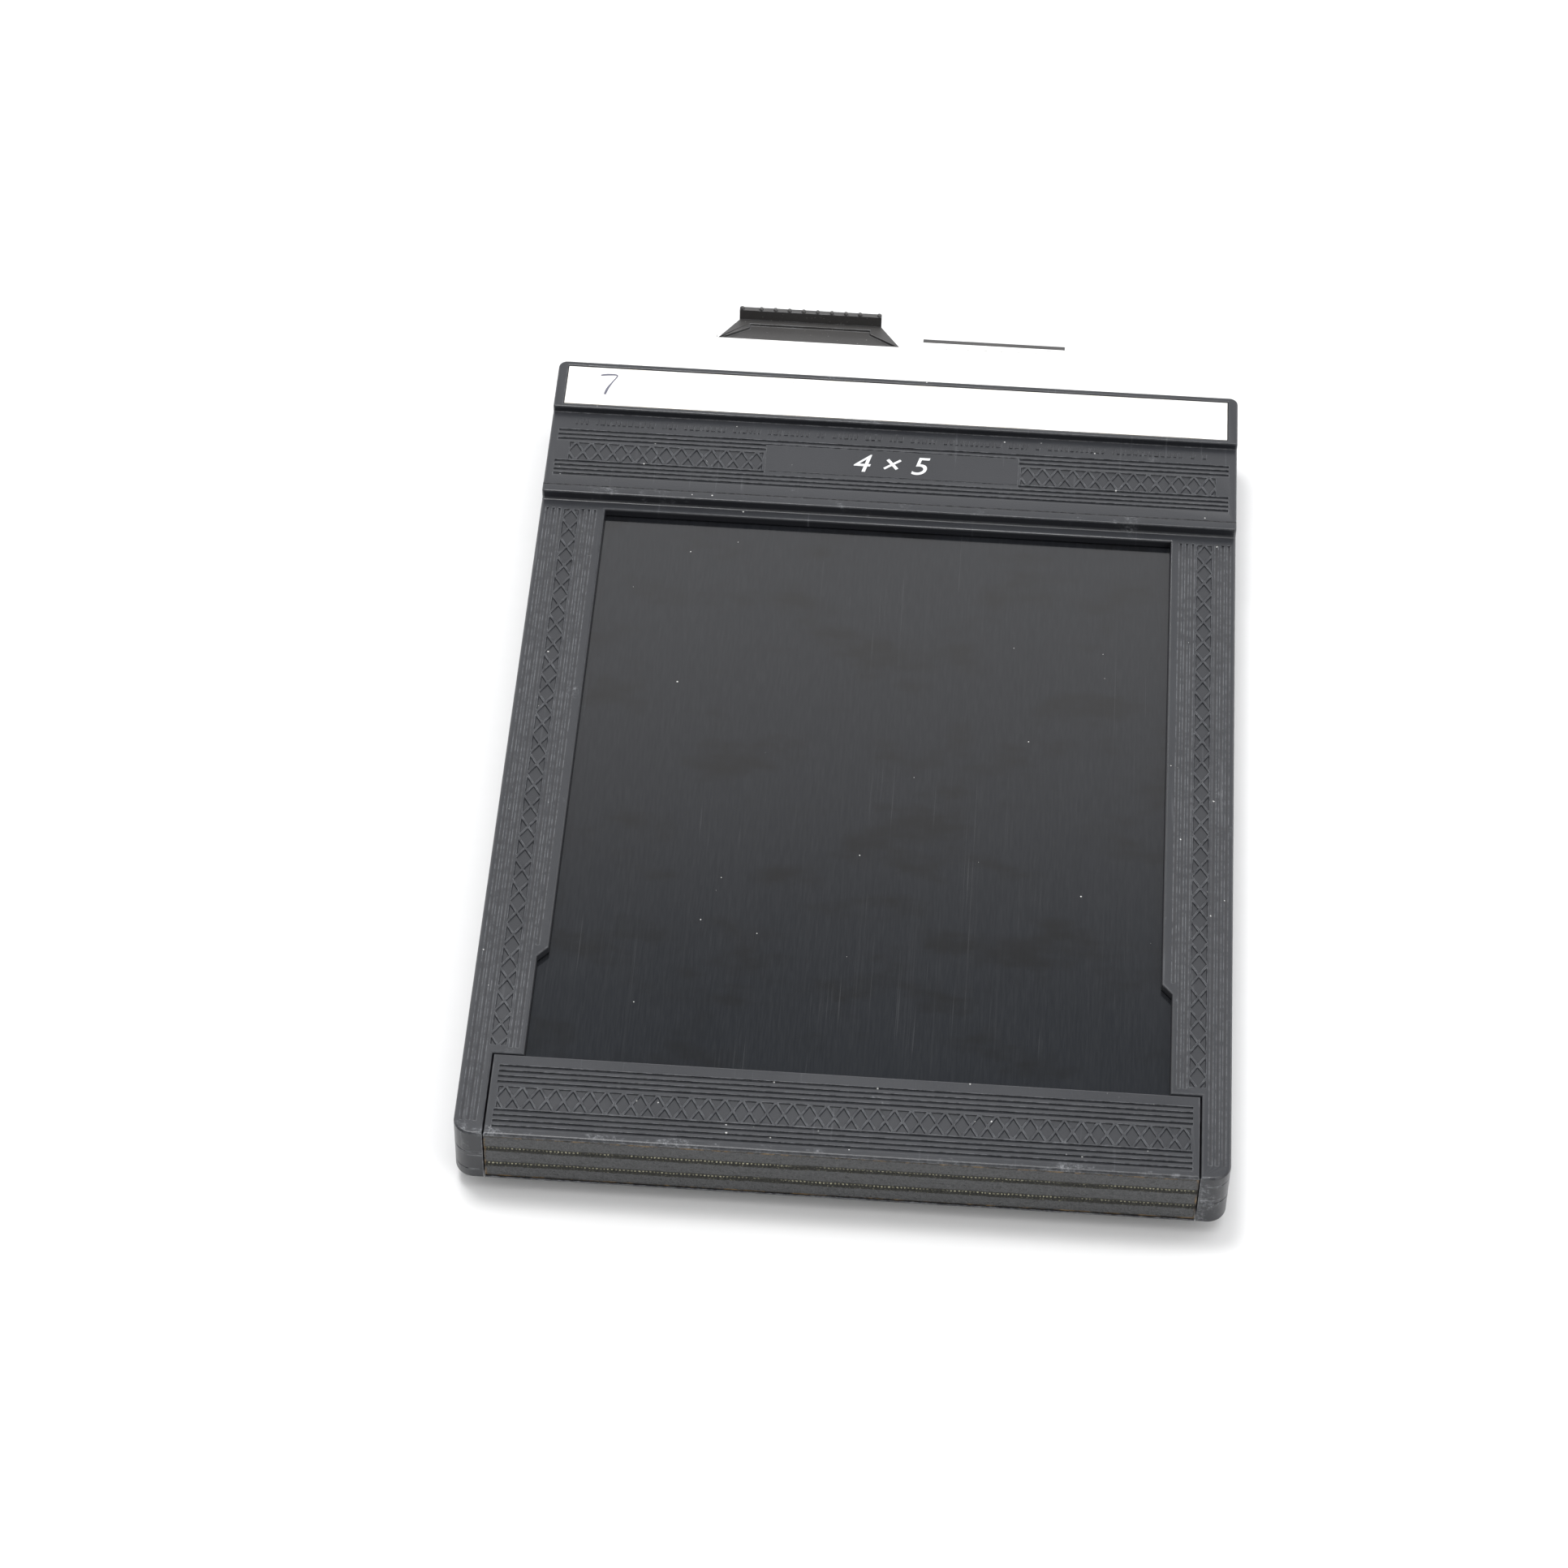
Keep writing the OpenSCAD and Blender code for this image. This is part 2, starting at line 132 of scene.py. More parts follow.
class FilmHolderColours(bpy.types.PropertyGroup):
    """Colours that a user would change."""

    moulding: bpy.props.FloatVectorProperty(
        name="Moulding", description="Moulded plastic of the frames", subtype="COLOR", size=3,
        default=(0.0145, 0.0155, 0.0185), min=0, max=1)
    moulding_wear: bpy.props.FloatVectorProperty(
        name="Rubbed Moulding", description="Rubbed edges of the frames", subtype="COLOR", size=3,
        default=(0.26, 0.27, 0.285), min=0, max=1)
    blade: bpy.props.FloatVectorProperty(
        name="Blade", description="Dark slide sheet", subtype="COLOR", size=3,
        default=(0.0062, 0.0068, 0.0085), min=0, max=1)
    white: bpy.props.FloatVectorProperty(
        name="White Plate", description="White plate of a slide's handle", subtype="COLOR",
        size=3, default=(0.83, 0.83, 0.815), min=0, max=1)
    cloth: bpy.props.FloatVectorProperty(
        name="Hinge Cloth", description="Coated cloth of the hinges", subtype="COLOR", size=3,
        default=(0.024, 0.0248, 0.0258), min=0, max=1)
    thread: bpy.props.FloatVectorProperty(
        name="Bare Thread", description="Thread that shows where the cloth's coat is worn",
        subtype="COLOR", size=3, default=(0.44, 0.42, 0.29), min=0, max=1)


def sizes():
    """The scene's sizes."""
    return bpy.context.scene.film_holder_sizes


def colours():
    """The scene's colours."""
    return bpy.context.scene.film_holder_colours


# ---------------------------------------------------------------- surfaces

def placed(points, side):
    """Points of the front side in millimetres, counted from the middle plane and the flap
    end, as frame points in metres; the rear side is the front one turned half round Y."""
    points = np.asarray(points, float)
    out = np.empty_like(points)
    out[:, 0] = points[:, 0] * side
    out[:, 1] = points[:, 1] + END_Y
    out[:, 2] = points[:, 2] * side + MID_Z
    return out * MM


def unplaced(points, side):
    """The inverse of placed: frame points in metres as millimetres of one side."""
    out = np.asarray(points, float) / MM
    out[:, 1] -= END_Y
    out[:, 0] *= side
    out[:, 2] = (out[:, 2] - MID_Z) * side
    return out


def joined(parts):
    """Several (points, faces) pairs as one."""
    points, faces, start = [], [], 0
    for part_points, part_faces in parts:
        points.append(np.asarray(part_points, float))
        faces.extend([[i + start for i in face] for face in part_faces])
        start += len(part_points)
    return np.concatenate(points), faces


def sweep(profile, start, end, across, along, up):
    """Closed bar: a profile (across, up) carried in a straight line along one axis from
    start to end, with a flat cap at each end. The profile runs anticlockwise as seen from
    the far end of the axis when across, up and along are right-handed."""
    profile = np.asarray(profile, float)
    count = len(profile)
    points = np.zeros((2 * count, 3))
    for row, place in enumerate((start, end)):
        ring = slice(row * count, (row + 1) * count)
        points[ring, across] = profile[:, 0]
        points[ring, up] = profile[:, 1]
        points[ring, along] = place
    i = np.arange(count)
    j = (i + 1) % count
    faces = np.stack([i, j, j + count, i + count], 1).tolist()
    faces.append(list(range(count))[::-1])
    faces.append(list(range(count, 2 * count)))
    return points, faces


def bar_of(lines):
    """Closed bar between four lines of equally many points, which run round it in order:
    the walls join each line to the next, and a flat cap closes each end."""
    points = np.stack(lines, 1).reshape(-1, 3)
    start = np.arange(len(lines[0]) - 1)[:, None] * 4
    faces = []
    for k in range(4):
        j = (k + 1) % 4
        faces += np.concatenate([start + k, start + 4 + k, start + 4 + j, start + j],
                                1).tolist()
    last = len(points) - 4
    faces += [[0, 1, 2, 3], [last + 3, last + 2, last + 1, last]]
    return points, faces


def inset(outline, distance):
    """A convex outline, anticlockwise, with every side moved inward by the distance."""
    outline = np.asarray(outline, float)
    run = np.roll(outline, -1, 0) - outline
    run /= np.linalg.norm(run, axis=1)[:, None]
    after = np.column_stack([-run[:, 1], run[:, 0]])
    before = np.roll(after, 1, 0)
    share = 1 + (before * after).sum(1)
    return outline + distance * (before + after) / share[:, None]


def pits(centres, outline, surface, depth, slope):
    """Closed pits, one at each centre: an outline, anticlockwise, goes down from the surface
    in straight sloping walls to a flat floor, and up past the surface at the same slope."""
    lift = inset(outline, -slope * RISE / depth)
    floor = inset(outline, slope)
    count = len(lift)
    cell = np.concatenate([np.column_stack([floor, np.full(count, surface - depth)]),
                           np.column_stack([lift, np.full(count, surface + RISE)])])
    spots = np.column_stack([np.asarray(centres, float), np.zeros(len(centres))])
    points = (spots[:, None, :] + cell[None, :, :]).reshape(-1, 3)
    i = np.arange(count)
    j = (i + 1) % count
    walls = np.stack([i, j, j + count, i + count], 1)
    starts = np.arange(len(spots)) * 2 * count
    faces = (starts[:, None, None] + walls[None, :, :]).reshape(-1, 4).tolist()
    faces += (starts[:, None] + np.arange(count)[::-1]).tolist()
    faces += (starts[:, None] + np.arange(count, 2 * count)).tolist()
    return points, faces


def diamond_lattice(x_pitch, y_pitch, spots, surface, along_y):
    """Pits of one row of diamonds. Whole diamonds stand on the spots, and half diamonds
    fill the gaps between them on both sides of the row."""
    land, depth = sizes().diamond_land / 2, sizes().diamond_depth
    slope = 0.13
    a, b = x_pitch / 2, y_pitch / 2
    spots = np.asarray(spots, float)
    whole = inset([[a, 0], [0, b], [-a, 0], [0, -b]], land)
    parts = [pits(spots, whole, surface, depth, slope)]
    if along_y:
        halves = (([a, b], [[0, -b], [0, b], [-a, 0]]), ([-a, b], [[0, b], [0, -b], [a, 0]]))
    else:
        halves = (([a, b], [[a, 0], [-a, 0], [0, -b]]), ([a, -b], [[-a, 0], [a, 0], [0, b]]))
    for shift, outline in halves:
        parts.append(pits(spots[:-1] + shift, inset(outline, land), surface, depth, slope))
    for spot, end in ((spots[0], -1), (spots[-1], 1)):
        for side in (1, -1):
            if along_y:
                corner, outline = [side * a, end * b], [[0, 0], [0, -end * b], [-side * a, 0]]
            else:
                corner, outline = [end * a, side * b], [[0, 0], [-end * a, 0], [0, -side * b]]
            if np.cross(outline[1], outline[2]) < 0:
                outline = outline[::-1]
            parts.append(pits([spot + corner], inset(outline, land), surface, depth, slope))
    return parts


def groove(place, start, end, surface, along_y, width, lean):
    """Closed wedge of a groove: a triangle carried in a straight line. lean is the share
    of the width that lies before the deepest line."""
    depth = sizes().groove_depth
    grow = (depth + RISE) / depth
    profile = [[place, surface - depth], [place + (1 - lean) * width * grow, surface + RISE],
               [place - lean * width * grow, surface + RISE]]
    if along_y:
        return sweep(profile[::-1], start, end, 0, 1, 2)
    return sweep(profile, start, end, 1, 0, 2)


# ---------------------------------------------------------------- mesh helpers

def opened(mesh):
    """The mesh opened for editing."""
    work = bmesh.new()
    work.from_mesh(mesh)
    return work


def closed(work, mesh):
    """Writes the edited mesh back."""
    work.to_mesh(mesh)
    work.free()


def points_of(mesh):
    """The mesh's points as rows."""
    points = np.empty(len(mesh.vertices) * 3)
    mesh.vertices.foreach_get("co", points)
    return points.reshape(-1, 3)


def new_piece(name, points, faces, side, smooth=None):
    """Mesh object at the origin whose points, in millimetres, are placed on one side."""
    mesh = bpy.data.meshes.new(name)
    mesh.from_pydata(np.asarray(points).tolist(), [], faces)
    return settled(mesh, name, side, smooth)


def settled(mesh, name, side, smooth=None):
    """Object of a mesh in millimetres, with its points placed on one side. Edges sharper
    than the angle smooth stay crisp; the other faces are shaded smoothly."""
    if smooth is not None:
        work = opened(mesh)
        for face in work.faces:
            face.smooth = True
        for edge in work.edges:
            edge.smooth = (len(edge.link_faces) == 2
                           and edge.calc_face_angle(0) < math.radians(smooth))
        closed(work, mesh)
    mesh.vertices.foreach_set("co", placed(points_of(mesh), side).ravel())
    mesh.update()
    return object_of(name, mesh)


def applied(piece):
    """Replaces the piece's mesh by its modified one and clears its modifiers."""
    graph = bpy.context.evaluated_depsgraph_get()
    mesh = bpy.data.meshes.new_from_object(piece.evaluated_get(graph))
    piece.modifiers.clear()
    piece.data = mesh


def object_of(name, data):
    """A new object in the scene, from its data."""
    made = bpy.data.objects.new(name, data)
    bpy.context.scene.collection.objects.link(made)
    return made


def cad_copy(node, name):
    """The CAD node's shape, merged into one closed mesh of clean flat faces, as a helper
    object in millimetres of the front side."""
    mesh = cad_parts[node].data.copy()
    mesh.vertices.foreach_set("co", unplaced(points_of(mesh), FRONT).ravel())
    work = opened(mesh)
    bmesh.ops.remove_doubles(work, verts=work.verts, dist=0.002)
    bmesh.ops.dissolve_limit(work, angle_limit=math.radians(0.4), verts=work.verts,
                             edges=work.edges)
    closed(work, mesh)
    return object_of(name, mesh)


def rounded(helper, width, weight, segments=3):
    """Rounds the helper's edges: weight(middle, edge) gives each edge's share of width."""
    work = opened(helper.data)
    layer = (work.edges.layers.float.get("bevel_weight_edge")
             or work.edges.layers.float.new("bevel_weight_edge"))
    for edge in work.edges:
        if len(edge.link_faces) == 2 and edge.calc_face_angle(0) > math.radians(30):
            middle = (edge.verts[0].co + edge.verts[1].co) / 2
            edge[layer] = weight(middle, edge)
    closed(work, helper.data)
    bevel = helper.modifiers.new("Rounding", "BEVEL")
    bevel.limit_method = "WEIGHT"
    bevel.width = width
    bevel.segments = segments
    bevel.use_clamp_overlap = False
    bevel.miter_outer = "MITER_SHARP"
    applied(helper)


def cut(helper, parts, operation="DIFFERENCE"):
    """Cuts closed shapes out of the helper, or adds them to it."""
    points, faces = joined(parts)
    mesh = bpy.data.meshes.new("cutter")
    mesh.from_pydata(points.tolist(), [], faces)
    work = opened(mesh)
    bmesh.ops.recalc_face_normals(work, faces=work.faces)
    closed(work, mesh)
    tool = object_of("cutter", mesh)
    boolean = helper.modifiers.new("Relief", "BOOLEAN")
    boolean.operation = operation
    boolean.solver = "MANIFOLD"
    boolean.object = tool
    before = len(helper.data.polygons)
    applied(helper)
    bpy.data.objects.remove(tool)
    if len(helper.data.polygons) <= before:
        raise RuntimeError(f"the relief of {helper.name} wasn't cut")


def from_helper(helper, name, side, smooth=40):
    """Finished piece on one side of the holder, from a helper in millimetres."""
    piece = settled(helper.data.copy(), name, side, smooth)
    even = piece.modifiers.new("Even Shading", "WEIGHTED_NORMAL")
    even.keep_sharp = True
    even.weight = 100
    return piece


def crest(piece, side, levels):
    """Point attribute "crest": 1 on the outermost levels of the relief and on the outer
    walls, falling to 0 a tenth of a millimetre below each level."""
    mesh = piece.data
    points = unplaced(points_of(mesh), side)
    on_level = np.zeros(len(points))
    for level in levels:
        on_level = np.maximum(on_level, 1 - np.abs(points[:, 2] - level) / 0.1)
    wall = np.abs(points[:, 0]) > BODY_X - 0.5
    wall |= (points[:, 1] < 0.5) | (points[:, 1] > BODY_Y - 0.5)
    value = np.clip(np.maximum(on_level, wall), 0, 1)
    attribute = mesh.attributes.new("crest", "FLOAT", "POINT")
    attribute.data.foreach_set("value", value.astype(np.float32))


# ---------------------------------------------------------------- shader helpers

def give(tree, made, inputs):
    """Links or sets each named input of a node."""
    for key, value in inputs.items():
        if isinstance(value, bpy.types.NodeSocket):
            tree.links.new(value, made.inputs[key])
        else:
            made.inputs[key].default_value = value


def add_node(tree, kind, inputs=None, **settings):
    """A shader node with its settings, its values and its links in one call."""
    made = tree.nodes.new(kind)
    for key, value in settings.items():
        setattr(made, key, value)
    give(tree, made, inputs or {})
    return made


def math_of(tree, operation, a, b=0.0, clamp=False):
    """Result of a Math node."""
    made = add_node(tree, "ShaderNodeMath", {0: a, 1: b}, operation=operation,
                    use_clamp=clamp)
    return made.outputs[0]


def times(tree, a, b):
    """Product of two values."""
    return math_of(tree, "MULTIPLY", a, b)


def plus(tree, a, b, clamp=False):
    """Sum of two values."""
    return math_of(tree, "ADD", a, b, clamp)


def between(tree, value, low, high, new_low=0.0, new_high=1.0):
    """A value's place between two limits, smoothly stepped."""
    made = add_node(tree, "ShaderNodeMapRange",
                    {"Value": value, "From Min": low, "From Max": high,
                     "To Min": new_low, "To Max": new_high},
                    interpolation_type="SMOOTHSTEP")
    return made.outputs["Result"]


def mixed(tree, share, a, b, blend="MIX"):
    """Colour between a and b."""
    a, b = (tone if isinstance(tone, bpy.types.NodeSocket) else (*tone, 1.0)
            for tone in (a, b))
    made = add_node(tree, "ShaderNodeMix", data_type="RGBA", blend_type=blend)
    give(tree, made, {0: share, 6: a, 7: b})
    return made.outputs[2]


def laid(tree, base, mask, share, colour):
    """A colour laid over the base where the mask is, by a share of it."""
    return mixed(tree, times(tree, mask, share), base, colour)


def noise(tree, vector, scale, detail=2.0, rough=0.5):
    """Value of a Noise Texture node."""
    made = add_node(tree, "ShaderNodeTexNoise",
                    {"Vector": vector, "Scale": scale, "Detail": detail,
                     "Roughness": rough})
    return made.outputs["Fac"]


def stretched(tree, vector, scale, turn=(0.0, 0.0, 0.0)):
    """Vector turned and stretched for a texture."""
    made = add_node(tree, "ShaderNodeMapping",
                    {"Vector": vector, "Rotation": turn, "Scale": scale})
    return made.outputs["Vector"]


def effect(name, inputs, outputs):
    """Empty shader group with named sockets; returns (group, values given, values made)."""
    group = bpy.data.node_groups.new(name, "ShaderNodeTree")
    for label, kind, default in inputs:
        socket = group.interface.new_socket(label, in_out="INPUT", socket_type=kind)
        if default is not None:
            socket.default_value = default
    for label, kind in outputs:
        group.interface.new_socket(label, in_out="OUTPUT", socket_type=kind)
    return (group, group.nodes.new("NodeGroupInput").outputs,
            group.nodes.new("NodeGroupOutput").inputs)


def use(tree, name, inputs):
    """Places a shared effect in a material with its own values."""
    made = tree.nodes.new("ShaderNodeGroup")
    made.node_tree = bpy.data.node_groups[name]
    give(tree, made, inputs)
    return made


def dust_specks(tree, point, scale, amount, size):
    """Mask of a finish's dust."""
    return use(tree, "Dust Specks", {"Vector": point, "Scale": scale, "Amount": amount,
                                     "Size": size}).outputs["Mask"]


def drag_marks(tree, point, across, along, turn, limit):
    """Mask of a finish's drag marks."""
    return use(tree, "Drag Marks", {"Vector": point, "Across": across, "Along": along,
                                    "Turn": turn, "Cut": limit}).outputs["Mask"]


def rubbed_edges(tree, point, radius, breakup, crest=1.0):
    """Mask of a finish's rubbed edges."""
    return use(tree, "Rubbed Edges", {"Vector": point, "Radius": radius,
                                      "Breakup": breakup, "Crest": crest}).outputs["Mask"]


FLOAT, VECTOR = "NodeSocketFloat", "NodeSocketVector"


def build_effects():
    """The effects that several finishes share: dust, drag marks, rubbed edges and grain."""
    group, given, made = effect(
        "Dust Specks", [("Vector", VECTOR, None), ("Scale", FLOAT, 400.0),
                        ("Amount", FLOAT, 0.1), ("Size", FLOAT, 0.25)], [("Mask", FLOAT)])
    cells = add_node(group, "ShaderNodeTexVoronoi",
                     {"Vector": given["Vector"], "Scale": given["Scale"]})
    parts = add_node(group, "ShaderNodeSeparateColor", {0: cells.outputs["Color"]})
    radius = times(group, parts.outputs[0], given["Size"])
    near = math_of(group, "LESS_THAN", cells.outputs["Distance"], radius)
    chosen = math_of(group, "LESS_THAN", parts.outputs[1], given["Amount"])
    group.links.new(times(group, near, chosen), made["Mask"])

    group, given, made = effect(
        "Drag Marks", [("Vector", VECTOR, None), ("Across", FLOAT, 900.0),
                       ("Along", FLOAT, 18.0), ("Turn", FLOAT, 0.0),
                       ("Cut", FLOAT, 0.62)], [("Mask", FLOAT)])
    turn = add_node(group, "ShaderNodeCombineXYZ", {2: given["Turn"]})
    scale = add_node(group, "ShaderNodeCombineXYZ",
                     {0: given["Across"], 1: given["Along"],
                      2: given["Along"]})
    lines = noise(group, stretched(group, given["Vector"], scale.outputs[0],
                                   turn.outputs[0]), 1.0, 1.0)
    patches = noise(group, given["Vector"], 55.0, 2.0)
    strength = times(group, between(group, patches, 0.45, 0.68),
                     between(group, lines, given["Cut"], 0.8))
    group.links.new(strength, made["Mask"])

    group, given, made = effect(
        "Rubbed Edges", [("Vector", VECTOR, None), ("Radius", FLOAT, 0.0003),
                         ("Breakup", FLOAT, 220.0), ("Crest", FLOAT, 1.0)],
        [("Mask", FLOAT)])
    soft = add_node(group, "ShaderNodeBevel", {"Radius": given["Radius"]}, samples=4)
    true = add_node(group, "ShaderNodeNewGeometry")
    facing = add_node(group, "ShaderNodeVectorMath",
                      {0: soft.outputs["Normal"], 1: true.outputs["True Normal"]},
                      operation="DOT_PRODUCT")
    bend = math_of(group, "SUBTRACT", 1.0, facing.outputs["Value"])
    edge = between(group, bend, 0.004, 0.12)
    patch = noise(group, given["Vector"], given["Breakup"], 4.0, 0.62)
    worn = between(group, patch, 0.36, 0.66)
    mask = times(group, times(group, edge, worn), given["Crest"])
    group.links.new(mask, made["Mask"])

    group, given, made = effect(
        "Moulded Grain", [("Vector", VECTOR, None), ("Scale", FLOAT, 5200.0)],
        [("Height", FLOAT), ("Cloud", FLOAT)])
    fine = noise(group, given["Vector"], given["Scale"], 2.0, 0.6)
    cloud = noise(group, given["Vector"], 42.0, 5.0, 0.6)
    group.links.new(fine, made["Height"])
    group.links.new(cloud, made["Cloud"])

    group, given, made = effect(
        "Pile", [("Vector", VECTOR, None), ("Scale", FLOAT, 6000.0)], [("Height", FLOAT)])
    tufts = noise(group, given["Vector"], given["Scale"], 3.0, 0.7)
    nap = noise(group, given["Vector"], 350.0, 3.0)
    group.links.new(times(group, tufts, nap), made["Height"])


def finish(name, **values):
    """New material with constant values on its shader, named with _ for each space; returns
    (material, node tree, object coordinates)."""
    material = bpy.data.materials.new(name)
    material.use_nodes = True
    tree = material.node_tree
    feed(tree, **values)
    return material, tree, add_node(tree, "ShaderNodeTexCoord").outputs["Object"]


def feed(tree, **values):
    """Links or sets inputs of the material's shader, named with _ for each space."""
    give(tree, tree.nodes["Principled BSDF"],
         {key.replace("_", " "): value for key, value in values.items()})


def bumped(tree, height, distance, strength=1.0, normal=None):
    """Normal of a Bump node, over another one if it's given."""
    inputs = {"Height": height, "Distance": distance, "Strength": strength}
    if normal is not None:
        inputs["Normal"] = normal
    return add_node(tree, "ShaderNodeBump", inputs).outputs["Normal"]


# ---------------------------------------------------------------- finishes

def moulding_finish():
    """Charcoal moulded plastic: cloudy satin, rubbed pale crests, painted shade with some dirt in
    the hollows, scuffs and dust.
    """
    material, tree, point = finish("Moulded Plastic", Specular_IOR_Level=0.5, IOR=1.5)
    grain = use(tree, "Moulded Grain", {"Vector": point, "Scale": 5200.0})
    level = add_node(tree, "ShaderNodeAttribute", attribute_name="crest").outputs["Fac"]
    rubbed = rubbed_edges(tree, point, 0.0003, 900.0, level)
    place = add_node(tree, "ShaderNodeSeparateXYZ", {0: point}).outputs[1]
    end_rub = between(tree, place, (END_Y + 2.6) * MM, (END_Y + 0.6) * MM)
    rib_low, rib_high = ([(END_Y + y + reach) * MM for reach in (-0.2, 0.2)] for y in RIB_Y)
    rib_rub = times(tree, between(tree, place, *rib_low),
                    between(tree, place, *rib_high, 1.0, 0.0))
    handled = plus(tree, times(tree, end_rub, 0.14), times(tree, rib_rub, 0.1))
    scuff_patch = between(tree, plus(tree, noise(tree, point, 110.0, 6.0, 0.7), handled), 0.62,
                          0.74)
    scuff_fine = between(tree, noise(tree, point, 1900.0, 4.0, 0.75), 0.42, 0.72)
    scuff = times(tree, times(tree, scuff_patch, scuff_fine), level)
    drag = drag_marks(tree, point, 1500.0, 60.0, 0.7, 0.66)
    dust = dust_specks(tree, point, 560.0, 0.2, 0.1)
    dark = colours().moulding
    light = [c * 1.5 for c in dark]
    base = mixed(tree, grain.outputs["Cloud"], dark, light)
    # Painted shade with some dirt: darker in the hollows, where the crest attribute falls below
    # each level
    base = mixed(tree, between(tree, level, 0.0, 1.0, 0.15, 0.0), base, (0.008, 0.008, 0.01))
    wear = times(tree, rubbed, between(tree, end_rub, 0.0, 1.0, 0.5, 1.0))
    base = mixed(tree, wear, base, colours().moulding_wear)
    base = laid(tree, base, scuff, 0.7, colours().moulding_wear)
    base = laid(tree, base, drag, 0.22, colours().moulding_wear)
    base = laid(tree, base, dust, 0.75, (0.62, 0.62, 0.6))
    rough = plus(tree, times(tree, grain.outputs["Cloud"], 0.18), 0.23)
    rough = plus(tree, rough, times(tree, scuff, 0.25), True)
    round_normal = add_node(tree, "ShaderNodeBevel", {"Radius": 0.00008}, samples=4)
    normal = bumped(tree, grain.outputs["Height"], 0.00003, 0.6, round_normal.outputs[0])
    feed(tree, Base_Color=base, Roughness=rough, Normal=normal)
    return material


def core_finish():
    """Plain black moulded plastic of the inner bars and the handles."""
    material, tree, point = finish("Core Plastic")
    grain = use(tree, "Moulded Grain", {"Vector": point, "Scale": 3600.0})
    rubbed = rubbed_edges(tree, point, 0.00022, 380.0)
    dust = dust_specks(tree, point, 1900.0, 0.22, 0.2)
    base = mixed(tree, grain.outputs["Cloud"], (0.042, 0.04, 0.04), (0.066, 0.064, 0.062))
    base = laid(tree, base, rubbed, 0.6, colours().moulding_wear)
    base = laid(tree, base, dust, 0.5, (0.34, 0.33, 0.31))
    rough = plus(tree, times(tree, grain.outputs["Cloud"], 0.2), 0.3)
    normal = bumped(tree, grain.outputs["Height"], 0.00005, 0.8)
    feed(tree, Base_Color=base, Roughness=rough, Normal=normal)
    return material


def blade_finish():
    """Glossy black sheet: lengthwise drag marks, a few crossing scratches and dust."""
    material, tree, point = finish("Blade Sheet")
    cloud = noise(tree, point, 26.0, 5.0, 0.6)
    streak = noise(tree, stretched(tree, point, (2300.0, 12.0, 9.0)), 1.0, 4.0, 0.7)
    brush = between(tree, noise(tree, stretched(tree, point, (3600.0, 240.0, 9.0)), 1.0, 4.0,
                                0.65), 0.36, 0.72)
    hair = drag_marks(tree, point, 2400.0, 8.0, 0.0, 0.6)
    slant = drag_marks(tree, point, 3000.0, 14.0, 0.12, 0.68)
    slash = drag_marks(tree, point, 2600.0, 34.0, -1.1, 0.7)
    dust = dust_specks(tree, point, 330.0, 0.3, 0.058)
    dark = colours().blade
    base = mixed(tree, cloud, [c * 0.8 for c in dark], [c * 1.25 for c in dark])
    base = laid(tree, base, between(tree, streak, 0.45, 0.75), 0.26, (0.017, 0.0175, 0.019))
    base = laid(tree, base, brush, 0.4, (0.019, 0.02, 0.022))
    stain = between(tree, noise(tree, stretched(tree, point, (60.0, 110.0, 60.0)), 1.0, 4.0,
                                0.6), 0.5, 0.72)
    base = laid(tree, base, stain, 0.8, (0.0042, 0.0036, 0.003))
    marks = plus(tree, times(tree, hair, 0.12), times(tree, slant, 0.4))
    marks = plus(tree, marks, times(tree, slash, 0.35), True)
    base = laid(tree, base, marks, 0.3, (0.12, 0.125, 0.13))
    base = laid(tree, base, dust, 0.8, (0.6, 0.6, 0.58))
    rough = plus(tree, times(tree, streak, 0.03), 0.09)
    rough = plus(tree, rough, times(tree, cloud, 0.03))
    rough = plus(tree, rough, times(tree, marks, 0.2), True)
    normal = bumped(tree, streak, 0.000004, 0.5)
    normal = bumped(tree, marks, 0.000008, 0.5, normal)
    feed(tree, Base_Color=base, Roughness=rough, Normal=normal)
    return material


def white_finish():
    """Glossy white plastic with faint handling marks and yellowed edges."""
    material, tree, point = finish("White Plate")
    cloud = noise(tree, point, 60.0, 4.0)
    rubbed = rubbed_edges(tree, point, 0.0004, 150.0)
    drag = drag_marks(tree, point, 1100.0, 40.0, 1.2, 0.66)
    base = mixed(tree, cloud, colours().white, (0.87, 0.87, 0.86))
    base = laid(tree, base, rubbed, 0.5, (0.62, 0.57, 0.46))
    base = laid(tree, base, drag, 0.3, (0.5, 0.5, 0.5))
    rough = plus(tree, times(tree, cloud, 0.12), 0.2)
    normal = bumped(tree, noise(tree, point, 800.0, 2.0), 0.00001, 0.4)
    feed(tree, Base_Color=base, Roughness=rough, Normal=normal)
    return material


def strip_finish():
    """Fine matt writing surface: white, with grey smudges and yellowed edges."""
    material, tree, point = finish("Writing Strip")
    tooth = noise(tree, point, 5200.0, 2.0)
    smudge = between(tree, noise(tree, point, 65.0, 5.0, 0.65), 0.5, 0.78)
    rubbed = rubbed_edges(tree, point, 0.0006, 120.0)
    specks = dust_specks(tree, point, 600.0, 0.02, 0.2)
    base = mixed(tree, times(tree, smudge, 0.35), (0.86, 0.855, 0.835), (0.66, 0.65, 0.61))
    base = laid(tree, base, rubbed, 0.6, (0.55, 0.46, 0.3))
    base = laid(tree, base, specks, 0.5, (0.2, 0.19, 0.17))
    rough = plus(tree, times(tree, tooth, 0.2), 0.5)
    normal = bumped(tree, tooth, 0.00001, 0.5)
    feed(tree, Base_Color=base, Roughness=rough, Normal=normal)
    return material


